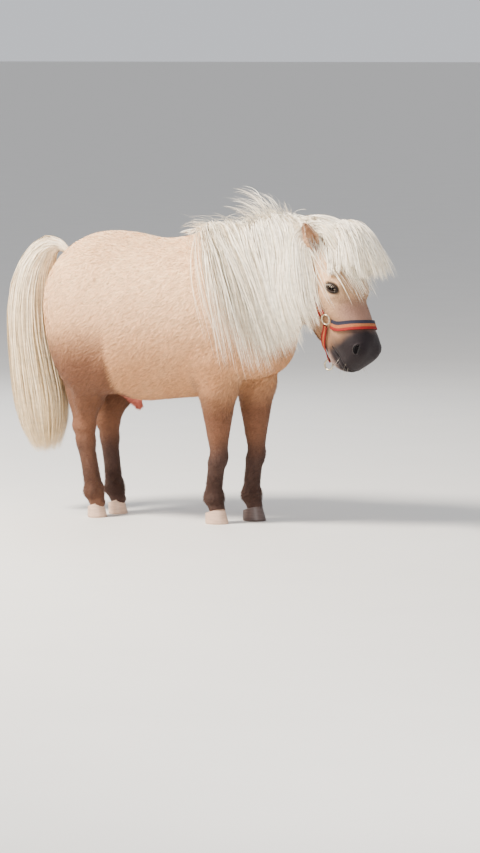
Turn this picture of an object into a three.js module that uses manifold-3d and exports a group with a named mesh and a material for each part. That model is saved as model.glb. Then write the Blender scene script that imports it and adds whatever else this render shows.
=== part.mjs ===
// A Shetland pony standing with its head turned a little to its right, wearing a halter.
// Millimetres, +X forward, +Y to the pony's left, +Z up, the soles of the hooves at Z = 0.
import * as THREE from "three";
import { mergeVertices } from "three/addons/utils/BufferGeometryUtils.js";
import Module from "manifold-3d";

const wasm = await Module();
wasm.setup();

// Driving sizes of the body
const CROUP_HEIGHT = 912;
const BACK_HEIGHT = 893;
const BELLY_HEIGHT = 377;
const BARREL_WIDTH = 468;
const BUTTOCK_X = -402;
const BREAST_X = 416;

// Driving sizes of the legs
const KNEE_HEIGHT = 215;
const HOCK_HEIGHT = 268;
const FETLOCK_HEIGHT = 86;
const HOOF_LENGTH = 76;
const HOOF_WIDTH = 68;
const HOOF_TOE_HEIGHT = 50;
const HOOF_HEEL_HEIGHT = 32;

// Driving sizes of the head, measured along it from the poll
const HEAD_LENGTH = 394;
const HEAD_WIDTH = 184;
const EYE_ALONG = 162;
const EYE_RADIUS = 18;
const EAR_LENGTH = 88;
const POLL = new THREE.Vector3(556, -50, 884);
const HEAD_TURN = THREE.MathUtils.degToRad(-19);
const HEAD_PITCH = THREE.MathUtils.degToRad(60.8);
const HEAD_ROLL = THREE.MathUtils.degToRad(-8);

// Highest place of the crest of the neck
const NECK_ARCH = new THREE.Vector3(372, -8, 890);

// Gap between neighbours, and the reach of the cutting boxes
const GAP = 0.3;
const FAR = 2000;

// Coat colours
const CREAM = 0xe2c8a6;
const DARK_LEG = 0x74594b;
const WHITE_HAIR = 0xf3e6cf;
const HOOF_HORN = 0xb9a78f;
const HOOF_DARK = 0x57504c;
const EYE_DARK = 0x1c120e;
const STRAP_RED = 0xc4502e;
const RING_STEEL = 0xb8bcc0;
const SHEATH_SKIN = 0x8d6f66;

// Shape functions: a ball has three radii, a limb narrows from one end to the other
function ball(x, y, z, lengthRadius, sideRadius, heightRadius) {
  return { centre: [x, y, z], radii: [lengthRadius, sideRadius, heightRadius] };
}

function limb(from, fromRadius, to, toRadius, flatness = 1) {
  return { from, fromRadius, to, toRadius, flatness };
}

function ballDistance(form, x, y, z) {
  const [rx, ry, rz] = form.radii;
  const dx = x - form.centre[0];
  const dy = y - form.centre[1];
  const dz = z - form.centre[2];
  const near = Math.hypot(dx / rx, dy / ry, dz / rz);
  const slope = Math.hypot(dx / (rx * rx), dy / (ry * ry), dz / (rz * rz));
  return slope < 1e-9 ? -Math.min(rx, ry, rz) : (near * (near - 1)) / slope;
}

function limbDistance(form, x, y, z) {
  const { from, to, fromRadius, toRadius, flatness } = form;
  const ax = to[0] - from[0];
  const ay = to[1] - from[1];
  const az = to[2] - from[2];
  const px = x - from[0];
  const py = y - from[1];
  const pz = z - from[2];
  const reach = (px * ax + py * ay + pz * az) / (ax * ax + ay * ay + az * az);
  const along = Math.min(1, Math.max(0, reach));
  const side = (py - along * ay) / flatness;
  return Math.hypot(px - along * ax, side, pz - along * az) - (fromRadius + along * (toRadius - fromRadius));
}

function formDistance(form, x, y, z) {
  return form.radii ? ballDistance(form, x, y, z) : limbDistance(form, x, y, z);
}

function blendMin(a, b, radius) {
  const overlap = Math.max(radius - Math.abs(a - b), 0) / radius;
  return Math.min(a, b) - (overlap * overlap * radius) / 4;
}

function groupDistance(group, x, y, z) {
  let distance = Infinity;
  for (const form of group.forms) {
    distance = blendMin(distance, formDistance(form, x, y, z), group.blend);
  }
  return distance;
}

// The trunk: barrel, shoulders, breast, withers, croup, rump and buttocks
const barrelMid = (BACK_HEIGHT + BELLY_HEIGHT) / 2;
const barrelDepth = (BACK_HEIGHT - BELLY_HEIGHT) / 2;

function bothSides(make) {
  return [make(1), make(-1)];
}

const trunk = {
  blend: 60,
  forms: [
    ball(-75, 0, barrelMid - 6, 262, BARREL_WIDTH / 2, barrelDepth - 2),
    ball(105, 0, barrelMid + 6, 240, BARREL_WIDTH / 2 - 14, barrelDepth - 10),
    ...bothSides((side) => ball(212, 70 * side, 650, 140, 104, 190)),
    ...bothSides((side) => ball(BREAST_X - 98, 48 * side, 578, 88, 78, 112)),
    ball(BREAST_X - 120, 0, 655, 100, 92, 110),
    ball(150, 0, 800, 130, 52, 84),
    ball(-190, 0, CROUP_HEIGHT - 118, 150, 88, 108),
    ...bothSides((side) => ball(-232, 74 * side, 700, 150, 136, 180)),
    ...bothSides((side) => ball(BUTTOCK_X + 92, 68 * side, 645, 82, 78, 140)),
    ...bothSides((side) => ball(-225, 128 * side, 560, 125, 88, 160)),
    ...bothSides((side) => ball(-140, 138 * side, 505, 66, 58, 84)),
  ],
};

// The neck: a thick crest above and the throat below, bending to the right
const neck = {
  blend: 50,
  forms: [
    limb([190, 0, 790], 96, [POLL.x - 45, POLL.y + 8, POLL.z - 52], 62, 0.72),
    limb([270, 0, 680], 132, [POLL.x - 62, POLL.y + 6, POLL.z - 112], 76, 0.78),
    limb([160, 0, 852], 44, [NECK_ARCH.x, NECK_ARCH.y, NECK_ARCH.z], 46, 0.8),
    limb([NECK_ARCH.x, NECK_ARCH.y, NECK_ARCH.z], 46, [POLL.x - 30, POLL.y + 4, POLL.z - 18], 36, 0.8),
    limb([330, 0, 640], 92, [POLL.x - 66, POLL.y + 4, POLL.z - 142], 58, 0.85),
  ],
};

// The legs: each stands from its joint at the top to the middle of its sole
const legPlans = [
  { name: "fore_right", side: -1, fore: true, top: [214, -96], knee: [200, -72], sole: [188, -58] },
  { name: "fore_left", side: 1, fore: true, top: [256, 96], knee: [262, 74], sole: [262, 62] },
  { name: "hind_right", side: -1, fore: false, top: [-205, -122], knee: [-268, -68], sole: [-229, -62] },
  { name: "hind_left", side: 1, fore: false, top: [-190, 122], knee: [-250, 64], sole: [-214, 54] },
];

function foreLegForms({ side, top, knee, sole }) {
  const fetlock = [sole[0] - 7, sole[1], FETLOCK_HEIGHT];
  const belowKnee = [knee[0] - 3, knee[1], KNEE_HEIGHT - 26];
  return [
    limb([top[0] - 8, top[1] + 12 * side, 520], 74, [top[0], top[1], 430], 60),
    limb([top[0], top[1], 430], 56, [knee[0], knee[1], KNEE_HEIGHT + 42], 32),
    limb([top[0] - 26, top[1], 425], 40, [knee[0] - 6, knee[1], KNEE_HEIGHT + 70], 26),
    ball(knee[0] + 2, knee[1], KNEE_HEIGHT, 31, 30, 36),
    limb(belowKnee, 25, [fetlock[0] + 1, fetlock[1], FETLOCK_HEIGHT + 26], 21),
    limb([belowKnee[0] - 12, ...belowKnee.slice(1)], 17, [fetlock[0] - 8, fetlock[1], FETLOCK_HEIGHT + 20], 16),
    ball(...fetlock, 28, 26, 26),
    ball(fetlock[0] - 15, fetlock[1], FETLOCK_HEIGHT - 8, 18, 18, 20),
    limb([fetlock[0], fetlock[1], FETLOCK_HEIGHT - 12], 23, [sole[0], sole[1], 46], 26),
  ];
}

function hindLegForms({ side, top, knee, sole }) {
  const fetlock = [sole[0] - 9, sole[1], FETLOCK_HEIGHT];
  const hock = [knee[0], knee[1], HOCK_HEIGHT];
  const point = [hock[0] - 27, hock[1], HOCK_HEIGHT + 20];
  const gaskinTop = [hock[0] + 24, hock[1] + 22 * side, HOCK_HEIGHT + 125];
  const tendonTop = [point[0] - 8, hock[1] + 22 * side, HOCK_HEIGHT + 190];
  return [
    limb([top[0] - 10, top[1], 530], 84, [hock[0] + 26, hock[1] + 22 * side, HOCK_HEIGHT + 120], 50),
    limb(gaskinTop, 48, [hock[0] + 4, hock[1] + 2 * side, HOCK_HEIGHT + 34], 31),
    limb(tendonTop, 34, [point[0] + 2, point[1], HOCK_HEIGHT + 34], 14),
    ball(...point, 17, 17, 24),
    limb([hock[0], hock[1], HOCK_HEIGHT + 16], 34, [hock[0] + 4, hock[1], HOCK_HEIGHT - 26], 28),
    limb([hock[0] + 5, hock[1], HOCK_HEIGHT - 26], 25, [fetlock[0] - 1, fetlock[1], FETLOCK_HEIGHT + 24], 21),
    limb([hock[0] - 10, hock[1], HOCK_HEIGHT - 20], 20, [fetlock[0] - 12, sole[1], FETLOCK_HEIGHT + 16], 16),
    ball(...fetlock, 28, 26, 26),
    ball(fetlock[0] - 15, fetlock[1], FETLOCK_HEIGHT - 8, 18, 18, 20),
    limb([fetlock[0], fetlock[1], FETLOCK_HEIGHT - 12], 23, [sole[0], sole[1], 46], 26),
  ];
}

const legs = legPlans.map((plan) => ({
  blend: 18,
  forms: plan.fore ? foreLegForms(plan) : hindLegForms(plan),
}));

// The head has its own frame: X along it to the muzzle, Y to its left, Z out of the brow
const heading = new THREE.Vector3(Math.cos(HEAD_TURN), Math.sin(HEAD_TURN), 0);
const upward = new THREE.Vector3(0, 0, 1);
const headAlong = heading.clone().multiplyScalar(Math.cos(HEAD_PITCH));
headAlong.addScaledVector(upward, -Math.sin(HEAD_PITCH));
const headLeft = new THREE.Vector3().crossVectors(upward, heading).applyAxisAngle(headAlong, HEAD_ROLL);
const headBrow = new THREE.Vector3().crossVectors(headAlong, headLeft);
const headFrame = new THREE.Matrix4().makeBasis(headAlong, headLeft, headBrow).setPosition(POLL);
const headInverse = headFrame.clone().invert();

const eyeAcross = HEAD_WIDTH / 2 - 15;
const eyeUp = 12;
const muzzleEnd = HEAD_LENGTH;

const head = {
  blend: 22,
  frame: headInverse,
  forms: [
    ball(46, 0, -22, 88, 72, 70),
    ball(128, 0, -14, 102, 78, 64),
    ...bothSides((side) => ball(EYE_ALONG - 12, 58 * side, 6, 46, 30, 27)),
    ...bothSides((side) => ball(EYE_ALONG, (eyeAcross - 10) * side, eyeUp - 2, 27, 23, 23)),
    ...bothSides((side) => ball(135, 50 * side, -98, 86, 37, 72)),
    ball(128, 0, -82, 84, 56, 70),
    limb([160, 0, -16], 58, [muzzleEnd - 80, 0, -16], 49, 1.32),
    ...bothSides((side) => limb([175, 38 * side, -50], 49, [muzzleEnd - 82, 20 * side, -42], 46)),
    ...bothSides((side) => limb([185, 28 * side, -108], 39, [muzzleEnd - 70, 10 * side, -92], 33)),
    ball(muzzleEnd - 54, 0, -36, 56, 63, 55),
    ...bothSides((side) => ball(muzzleEnd - 45, 36 * side, -14, 36, 26, 27)),
    ball(muzzleEnd - 24, 0, -50, 25, 50, 38),
    ball(muzzleEnd - 53, 0, -108, 33, 36, 24),
    ball(muzzleEnd - 31, 0, -95, 23, 33, 17),
  ],
};

const groups = [
  { group: trunk, join: 1 },
  { group: neck, join: 60 },
  { group: head, join: 30 },
  ...legs.map((group) => ({ group, join: 34 })),
];

const headPoint = new THREE.Vector3();

function bodyDistance(x, y, z) {
  let distance = Infinity;
  for (const { group, join } of groups) {
    let value;
    if (group.frame) {
      headPoint.set(x, y, z).applyMatrix4(group.frame);
      value = groupDistance(group, headPoint.x, headPoint.y, headPoint.z);
    } else {
      value = groupDistance(group, x, y, z);
    }
    distance = blendMin(distance, value, join);
  }
  return distance;
}

function slopeOf(distance, point, step = 0.5) {
  const { x, y, z } = point;
  return new THREE.Vector3(
    distance(x + step, y, z) - distance(x - step, y, z),
    distance(x, y + step, z) - distance(x, y - step, z),
    distance(x, y, z + step) - distance(x, y, z - step),
  ).divideScalar(2 * step);
}

// Moves a point along the slope until it lies at the wanted distance from the surface
function settle(distance, point, wanted, rounds = 4) {
  for (let round = 0; round < rounds; round += 1) {
    const slope = slopeOf(distance, point);
    const error = distance(point.x, point.y, point.z) - wanted;
    point.addScaledVector(slope, -error / Math.max(slope.lengthSq(), 0.2));
  }
  return point;
}

// Solids and meshes
function geometryFrom(points, triangles) {
  const geometry = new THREE.BufferGeometry();
  const positions = new Float32Array(points.flatMap((point) => [point.x, point.y, point.z]));
  geometry.setAttribute("position", new THREE.BufferAttribute(positions, 3));
  geometry.setIndex(facingOut(points, triangles));
  return geometry;
}

// Turns all triangles round if they face into the shape
function facingOut(points, triangles) {
  const normal = new THREE.Vector3();
  let volume = 0;
  for (let i = 0; i < triangles.length; i += 3) {
    const [a, b, c] = [points[triangles[i]], points[triangles[i + 1]], points[triangles[i + 2]]];
    volume += normal.crossVectors(b, c).dot(a);
  }
  return volume < 0 ? triangles.toReversed() : triangles;
}

function solidOf(geometry) {
  const plain = geometry.clone();
  plain.deleteAttribute("normal");
  plain.deleteAttribute("uv");
  const merged = mergeVertices(plain, 1e-3);
  const vertProperties = new Float32Array(merged.attributes.position.array);
  const triVerts = new Uint32Array(merged.index.array);
  return new wasm.Manifold(new wasm.Mesh({ numProp: 3, vertProperties, triVerts }));
}

function largestOf(solid) {
  const bodies = solid.decompose().filter((body) => body.volume() > 0);
  bodies.sort((a, b) => b.volume() - a.volume());
  return bodies[0];
}

function geometryOf(solid) {
  const mesh = solid.getMesh();
  const geometry = new THREE.BufferGeometry();
  geometry.setAttribute("position", new THREE.BufferAttribute(new Float32Array(mesh.vertProperties), 3));
  geometry.setIndex(Array.from(mesh.triVerts));
  return parted(geometry);
}

// Where two locks only touch, each draws back a hair's breadth, so that the surface stays closed
const TOUCH_GAP = 0.06;

function parted(geometry) {
  geometry.computeVertexNormals();
  const { position, normal } = geometry.attributes;
  const places = new Map();
  for (let index = 0; index < position.count; index += 1) {
    const key = [position.getX(index), position.getY(index), position.getZ(index)]
      .map((value) => Math.round(value * 200)).join();
    places.set(key, [...(places.get(key) ?? []), index]);
  }
  const shared = [...places.values()].filter((group) => group.length > 1).flat();
  for (const index of shared) {
    position.setXYZ(
      index,
      position.getX(index) - TOUCH_GAP * normal.getX(index),
      position.getY(index) - TOUCH_GAP * normal.getY(index),
      position.getZ(index) - TOUCH_GAP * normal.getZ(index),
    );
  }
  geometry.deleteAttribute("normal");
  return geometry;
}

function spaced(from, to, step) {
  const count = Math.max(2, Math.round((to - from) / step));
  return Array.from({ length: count + 1 }, (_, index) => from + ((to - from) * index) / count);
}

// Closed mesh of the surface where the distance is zero, one point in each grid cell that it crosses
function surfaceMesh(distance, xs, ys, zs) {
  const sizes = [xs.length, ys.length, zs.length];
  const index = (i, j, k) => (i * sizes[1] + j) * sizes[2] + k;
  const values = new Float64Array(sizes[0] * sizes[1] * sizes[2]);
  const onEdge = (i, size) => i === 0 || i === size - 1;
  for (let i = 0; i < sizes[0]; i += 1) {
    for (let j = 0; j < sizes[1]; j += 1) {
      for (let k = 0; k < sizes[2]; k += 1) {
        const outer = onEdge(i, sizes[0]) || onEdge(j, sizes[1]) || onEdge(k, sizes[2]);
        const value = distance(xs[i], ys[j], zs[k]);
        values[index(i, j, k)] = outer ? Math.max(value, 1) : value;
      }
    }
  }
  const points = [];
  const cellPoint = new Map();
  const corners = [0, 1, 2, 3, 4, 5, 6, 7].map((bits) => [bits & 1, (bits >> 1) & 1, (bits >> 2) & 1]);
  const edges = [];
  for (let a = 0; a < 8; a += 1) {
    for (const bit of [1, 2, 4]) {
      if (!(a & bit)) {
        edges.push([a, a | bit]);
      }
    }
  }
  for (let i = 0; i < sizes[0] - 1; i += 1) {
    for (let j = 0; j < sizes[1] - 1; j += 1) {
      for (let k = 0; k < sizes[2] - 1; k += 1) {
        const cell = corners.map(([a, b, c]) => values[index(i + a, j + b, k + c)]);
        const sum = new THREE.Vector3();
        let crossings = 0;
        for (const [a, b] of edges) {
          if ((cell[a] < 0) !== (cell[b] < 0)) {
            const share = cell[a] / (cell[a] - cell[b]);
            const from = corners[a];
            const to = corners[b];
            sum.x += xs[i + from[0]] + share * (xs[i + to[0]] - xs[i + from[0]]);
            sum.y += ys[j + from[1]] + share * (ys[j + to[1]] - ys[j + from[1]]);
            sum.z += zs[k + from[2]] + share * (zs[k + to[2]] - zs[k + from[2]]);
            crossings += 1;
          }
        }
        if (crossings > 0) {
          sum.divideScalar(crossings);
          const inside = i > 0 && j > 0 && k > 0 && i < sizes[0] - 2 && j < sizes[1] - 2 && k < sizes[2] - 2;
          cellPoint.set(index(i, j, k), points.length);
          points.push(inside ? settle(distance, sum, 0, 2) : sum);
        }
      }
    }
  }
  const triangles = [];
  const addQuad = (cells, flip) => {
    const [a, b, c, d] = cells.map((cell) => cellPoint.get(cell));
    const order = flip ? [a, d, c, b] : [a, b, c, d];
    const corners = order.map((index) => points[index]);
    const shortFirst = corners[0].distanceTo(corners[2]) <= corners[1].distanceTo(corners[3]);
    if (shortFirst) {
      triangles.push(order[0], order[1], order[2], order[0], order[2], order[3]);
    } else {
      triangles.push(order[1], order[2], order[3], order[1], order[3], order[0]);
    }
  };
  const inner = (value, axis) => value > 0 && value < sizes[axis] - 1;
  for (let i = 0; i < sizes[0] - 1; i += 1) {
    for (let j = 0; j < sizes[1] - 1; j += 1) {
      for (let k = 0; k < sizes[2] - 1; k += 1) {
        const here = values[index(i, j, k)] < 0;
        const changes = (other) => here !== (values[other] < 0);
        if (inner(j, 1) && inner(k, 2) && changes(index(i + 1, j, k))) {
          addQuad([index(i, j - 1, k - 1), index(i, j, k - 1), index(i, j, k), index(i, j - 1, k)], !here);
        }
        if (inner(i, 0) && inner(k, 2) && changes(index(i, j + 1, k))) {
          addQuad([index(i - 1, j, k - 1), index(i - 1, j, k), index(i, j, k), index(i, j, k - 1)], !here);
        }
        if (inner(i, 0) && inner(j, 1) && changes(index(i, j, k + 1))) {
          addQuad([index(i - 1, j - 1, k), index(i, j - 1, k), index(i, j, k), index(i - 1, j, k)], !here);
        }
      }
    }
  }
  return geometryFrom(points, triangles);
}

// Closed mesh through rings of equal length; a ring of one point makes a tip
function loft(rings) {
  const points = [];
  const triangles = [];
  const starts = rings.map((ring) => {
    const start = points.length;
    points.push(...ring);
    return start;
  });
  const count = Math.max(...rings.map((ring) => ring.length));
  for (let row = 0; row < rings.length - 1; row += 1) {
    const a = starts[row];
    const b = starts[row + 1];
    for (let i = 0; i < count; i += 1) {
      const next = (i + 1) % count;
      if (rings[row].length > 1 && rings[row + 1].length > 1) {
        triangles.push(a + i, a + next, b + i, a + next, b + next, b + i);
      } else if (rings[row].length > 1) {
        triangles.push(a + i, a + next, b);
      } else {
        triangles.push(a, b + next, b + i);
      }
    }
  }
  const closeEnd = (row, flip) => {
    if (rings[row].length > 1) {
      const middle = points.length;
      points.push(rings[row].reduce((sum, point) => sum.add(point), new THREE.Vector3()).divideScalar(count));
      for (let i = 0; i < count; i += 1) {
        const pair = [starts[row] + i, starts[row] + ((i + 1) % count)];
        triangles.push(middle, pair[flip ? 1 : 0], pair[flip ? 0 : 1]);
      }
    }
  };
  closeEnd(0, true);
  closeEnd(rings.length - 1, false);
  return geometryFrom(points, triangles);
}

// The same shape with its surface moved out, for the socket that a rooted piece sits in
function grown(geometry, gap) {
  const plain = geometry.clone();
  plain.deleteAttribute("normal");
  plain.deleteAttribute("uv");
  const merged = mergeVertices(plain, 1e-3);
  merged.computeVertexNormals();
  const positions = merged.attributes.position;
  const point = new THREE.Vector3();
  const normal = new THREE.Vector3();
  for (let i = 0; i < positions.count; i += 1) {
    point.fromBufferAttribute(positions, i);
    normal.fromBufferAttribute(merged.attributes.normal, i);
    point.addScaledVector(normal, gap);
    positions.setXYZ(i, point.x, point.y, point.z);
  }
  merged.deleteAttribute("normal");
  return merged;
}

// A large box on the side of a plane that its normal points to
function halfSpace([point, normal], grow) {
  const geometry = new THREE.BoxGeometry(FAR * 2, FAR * 2, FAR);
  geometry.translate(0, 0, FAR / 2 - grow);
  geometry.applyQuaternion(new THREE.Quaternion().setFromUnitVectors(upward, normal.clone().normalize()));
  geometry.translate(point.x, point.y, point.z);
  return solidOf(geometry);
}

function regionSolid(planes, grow) {
  return planes.map((plane) => halfSpace(plane, grow)).reduce((sum, solid) => sum.intersect(solid));
}

function vec(x, y, z) {
  return new THREE.Vector3(x, y, z);
}

function headToWorld(x, y, z) {
  return vec(x, y, z).applyMatrix4(headFrame);
}

function headTurned(x, y, z) {
  return vec(x, y, z).transformDirection(headFrame);
}

// Where the body is parted: planes whose normals point into the part that is cut off
const headPlanes = [
  [headToWorld(-12, 0, 40), headTurned(0.9, 0, 0.43)],
  [headToWorld(90, 0, -205), headTurned(0.43, 0, 0.9)],
];
const neckPlanes = [
  [vec(262, 0, 740), vec(0.85, 0, 0.53)],
  [vec(325, 0, 640), vec(-0.25, 0, 0.97)],
];

const LEG_CUT_RISE = 0.45;

function legPlanes({ side, fore, top }) {
  const cutHeight = fore ? 402 : 436;
  const behind = fore ? 95 : 190;
  const ahead = fore ? 95 : 92;
  const lean = fore ? 0 : 0.3;
  return [
    [vec(top[0], top[1], cutHeight), vec(-lean, side * LEG_CUT_RISE, -1)],
    [vec(0, side * 3, 0), vec(0, side, 0)],
    [vec(top[0] - behind, 0, 0), vec(1, 0, 0)],
    [vec(top[0] + ahead, 0, 0), vec(-1, 0, 0)],
  ];
}

// The crown of each hoof slopes from the toe down to the heel
function crownPlane({ sole }) {
  const slope = (HOOF_TOE_HEIGHT - HOOF_HEEL_HEIGHT) / HOOF_LENGTH;
  const height = (HOOF_TOE_HEIGHT + HOOF_HEEL_HEIGHT) / 2;
  return { point: vec(sole[0], sole[1], height), normal: vec(-slope, 0, 1) };
}

const pony = new THREE.Group();

function addPart(name, solid, color, roughness = 0.85, metalness = 0) {
  const material = new THREE.MeshStandardMaterial({ color, roughness, metalness });
  const geometry = solid.isBufferGeometry ? solid : geometryOf(largestOf(solid));
  const mesh = new THREE.Mesh(geometry, material);
  mesh.name = name;
  pony.add(mesh);
}

// Hooves and legs
const HOOF_SIDES = 14;

function hoofGeometry(plan) {
  const [x, y] = plan.sole;
  const crown = crownPlane(plan);
  const ring = (share) => Array.from({ length: HOOF_SIDES }, (_, index) => {
    const angle = (index / HOOF_SIDES) * Math.PI * 2;
    const spread = THREE.MathUtils.lerp(1, 0.8, share);
    const reach = Math.cos(angle) > 0 ? HOOF_LENGTH / 2 : HOOF_LENGTH * 0.4;
    const px = x + reach * spread * Math.cos(angle) - share * 7;
    const py = y + (HOOF_WIDTH / 2) * spread * Math.sin(angle);
    const top = crown.point.z - ((px - crown.point.x) * crown.normal.x) / crown.normal.z;
    return vec(px, py, share * top);
  });
  return loft([ring(0), ring(0.5), ring(1)]);
}

const LEG_STEP = 20;
const LEG_STEP_UP = 36;

for (const plan of legPlans) {
  const xs = [plan.top[0], plan.knee[0], plan.sole[0]];
  const ys = [plan.top[1], plan.knee[1], plan.sole[1]];
  const mesh = surfaceMesh(
    bodyDistance,
    spaced(Math.min(...xs) - (plan.fore ? 110 : 160), Math.max(...xs) + 110, LEG_STEP),
    spaced(Math.min(...ys) - 105, Math.max(...ys) + 105, LEG_STEP),
    spaced(8, plan.fore ? 500 : 560, LEG_STEP_UP),
  );
  const crown = crownPlane(plan);
  const above = [crown.point.clone().add(vec(0, 0, GAP)), crown.normal];
  const leg = solidOf(mesh).intersect(regionSolid([...legPlanes(plan), above], 0));
  addPart(`${plan.name}_leg`, leg, DARK_LEG);
  addPart(`${plan.name}_hoof`, hoofGeometry(plan), plan.name === "fore_left" ? HOOF_DARK : HOOF_HORN, 0.6);
}

// Sheath under the belly
const sheathForms = {
  blend: 14,
  forms: [
    limb([-158, 0, 408], 30, [-118, 0, 378], 20),
    limb([-118, 0, 378], 15, [-102, 0, 361], 11),
  ],
};

function sheathDistance(x, y, z) {
  return groupDistance(sheathForms, x, y, z);
}

const sheath = surfaceMesh(sheathDistance, spaced(-200, -80, 15), spaced(-45, 45, 15), spaced(336, 456, 15));
addPart("sheath", solidOf(sheath), SHEATH_SKIN, 0.7);

// Tail dock, sunk into the rump, and the tail hair that falls from it
const dockPath = [vec(-362, 0, 842), vec(-396, 0, 848), vec(-428, 0, 826), vec(-448, 0, 780)];

function roundRing(centre, along, across, up, width, height, sides) {
  return Array.from({ length: sides }, (_, index) => {
    const angle = (index / sides) * Math.PI * 2;
    return centre.clone()
      .addScaledVector(across, (width / 2) * Math.cos(angle))
      .addScaledVector(up, (height / 2) * Math.sin(angle));
  });
}

// Rings across a path, kept level with a given side direction
function ringsAlong(path, side, sizes, sides) {
  return path.map((point, index) => {
    const before = path[Math.max(index - 1, 0)];
    const after = path[Math.min(index + 1, path.length - 1)];
    const along = after.clone().sub(before).normalize();
    const up = new THREE.Vector3().crossVectors(along, side).normalize();
    const across = new THREE.Vector3().crossVectors(up, along).normalize();
    const [width, height] = sizes(index / (path.length - 1), index);
    return roundRing(point, along, across, up, width, height, sides);
  });
}

const leftward = vec(0, 1, 0);
const dock = loft(ringsAlong(dockPath, leftward, (share) => [54 - 16 * share, 50 - 16 * share], 10));
const dockSocket = solidOf(grown(dock, GAP * 1.2));

// Head
function headDistance(x, y, z) {
  headPoint.set(x, y, z).applyMatrix4(headFrame);
  return bodyDistance(headPoint.x, headPoint.y, headPoint.z);
}

const HEAD_STEP = 17.6;
const headMesh = surfaceMesh(
  headDistance,
  spaced(-70, HEAD_LENGTH + 26, HEAD_STEP),
  spaced(-HEAD_WIDTH / 2 - 30, HEAD_WIDTH / 2 + 30, HEAD_STEP),
  spaced(-230, 88, HEAD_STEP),
);
headMesh.applyMatrix4(headFrame);
let headSolid = solidOf(headMesh).intersect(regionSolid(headPlanes, 0));

// A point on the head's surface near a place given in the head's own frame, and the way out of it
function headSurface(x, y, z, lift = 0) {
  const point = settle(bodyDistance, headToWorld(x, y, z), lift, 6);
  const out = slopeOf(bodyDistance, point).normalize();
  return { point, out };
}

// Turns a shape made with Z outward and X along a given direction, and puts it at a point
function placed(geometry, origin, outward, along) {
  const zAxis = outward.clone().normalize();
  const yAxis = new THREE.Vector3().crossVectors(zAxis, along).normalize();
  const xAxis = new THREE.Vector3().crossVectors(yAxis, zAxis);
  const frame = new THREE.Matrix4().makeBasis(xAxis, yAxis, zAxis).setPosition(origin);
  return geometry.clone().applyMatrix4(frame);
}

// Eyes: each ball sits in a socket behind lids with an almond opening
const EYE_OPENING_LENGTH = 32;
const EYE_OPENING_HEIGHT = 18;
const LID_DEPTH = 1.8;

function almondShape(length, height) {
  const shape = new THREE.Shape();
  shape.moveTo(-length / 2, -height * 0.08);
  shape.quadraticCurveTo(0, height * 1.08, length / 2, -height * 0.12);
  shape.quadraticCurveTo(-length * 0.05, -height * 0.92, -length / 2, -height * 0.08);
  return shape;
}

for (const [name, side] of [["left", 1], ["right", -1]]) {
  const { point, out } = headSurface(EYE_ALONG, (eyeAcross + 10) * side, eyeUp);
  const centre = point.clone().addScaledVector(out, -EYE_RADIUS - LID_DEPTH);
  const eyeball = new THREE.SphereGeometry(EYE_RADIUS, 10, 7);
  const socket = eyeball.clone().scale(1 + GAP / EYE_RADIUS, 1 + GAP / EYE_RADIUS, 1 + GAP / EYE_RADIUS);
  const opening = new THREE.ExtrudeGeometry(almondShape(EYE_OPENING_LENGTH, EYE_OPENING_HEIGHT), {
    depth: 60, bevelEnabled: false, curveSegments: 6,
  });
  const cutter = placed(opening, centre, out, headTurned(0.82, 0, 0.57));
  socket.translate(centre.x, centre.y, centre.z);
  headSolid = headSolid.subtract(solidOf(socket)).subtract(solidOf(cutter));
  addPart(`eye_${name}`, eyeball.translate(centre.x, centre.y, centre.z), EYE_DARK, 0.1);
}

// Nostrils: comma-like pits on the sides of the muzzle
for (const side of [1, -1]) {
  const { point, out } = headSurface(muzzleEnd - 34, 56 * side, -6);
  const pit = new THREE.SphereGeometry(1, 10, 7).scale(14, 7, 13);
  const slant = headTurned(0.75, 0.2 * side, -0.6);
  headSolid = headSolid.subtract(solidOf(placed(pit, point.addScaledVector(out, -3), out, slant)));
}

// Mouth: the closed line between the lips, from the front back to each corner
const MOUTH_GAP = 1.4;
const mouthCurve = new THREE.QuadraticBezierCurve(
  new THREE.Vector2(muzzleEnd - 82, -88),
  new THREE.Vector2(muzzleEnd - 46, -72),
  new THREE.Vector2(muzzleEnd + 20, -82),
);
const mouthPoints = mouthCurve.getPoints(5);
const mouthShape = new THREE.Shape([
  ...mouthPoints.map((point) => new THREE.Vector2(point.x, point.y - MOUTH_GAP / 2)),
  ...mouthPoints.slice(1).reverse().map((point) => new THREE.Vector2(point.x, point.y + MOUTH_GAP / 2)),
]);
const mouthCut = new THREE.ExtrudeGeometry(mouthShape, { depth: 160, bevelEnabled: false });
mouthCut.translate(0, 0, -80);
mouthCut.rotateX(Math.PI / 2);
mouthCut.applyMatrix4(headFrame);
headSolid = headSolid.subtract(solidOf(mouthCut));

// Ears: cupped shells on round roots that sit in the head
const EAR_WIDTH = 46;
const EAR_DEPTH = 34;
const EAR_ROOT = 13;
const EAR_STEPS = 6;
const EAR_SIDES = 10;

const earProfile = (share) => (0.62 + 0.4 * Math.sin(Math.PI * Math.min(share / 0.8, 1) * 0.85)) *
  Math.sqrt(Math.max(1 - share ** 3.2, 0));

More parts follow.
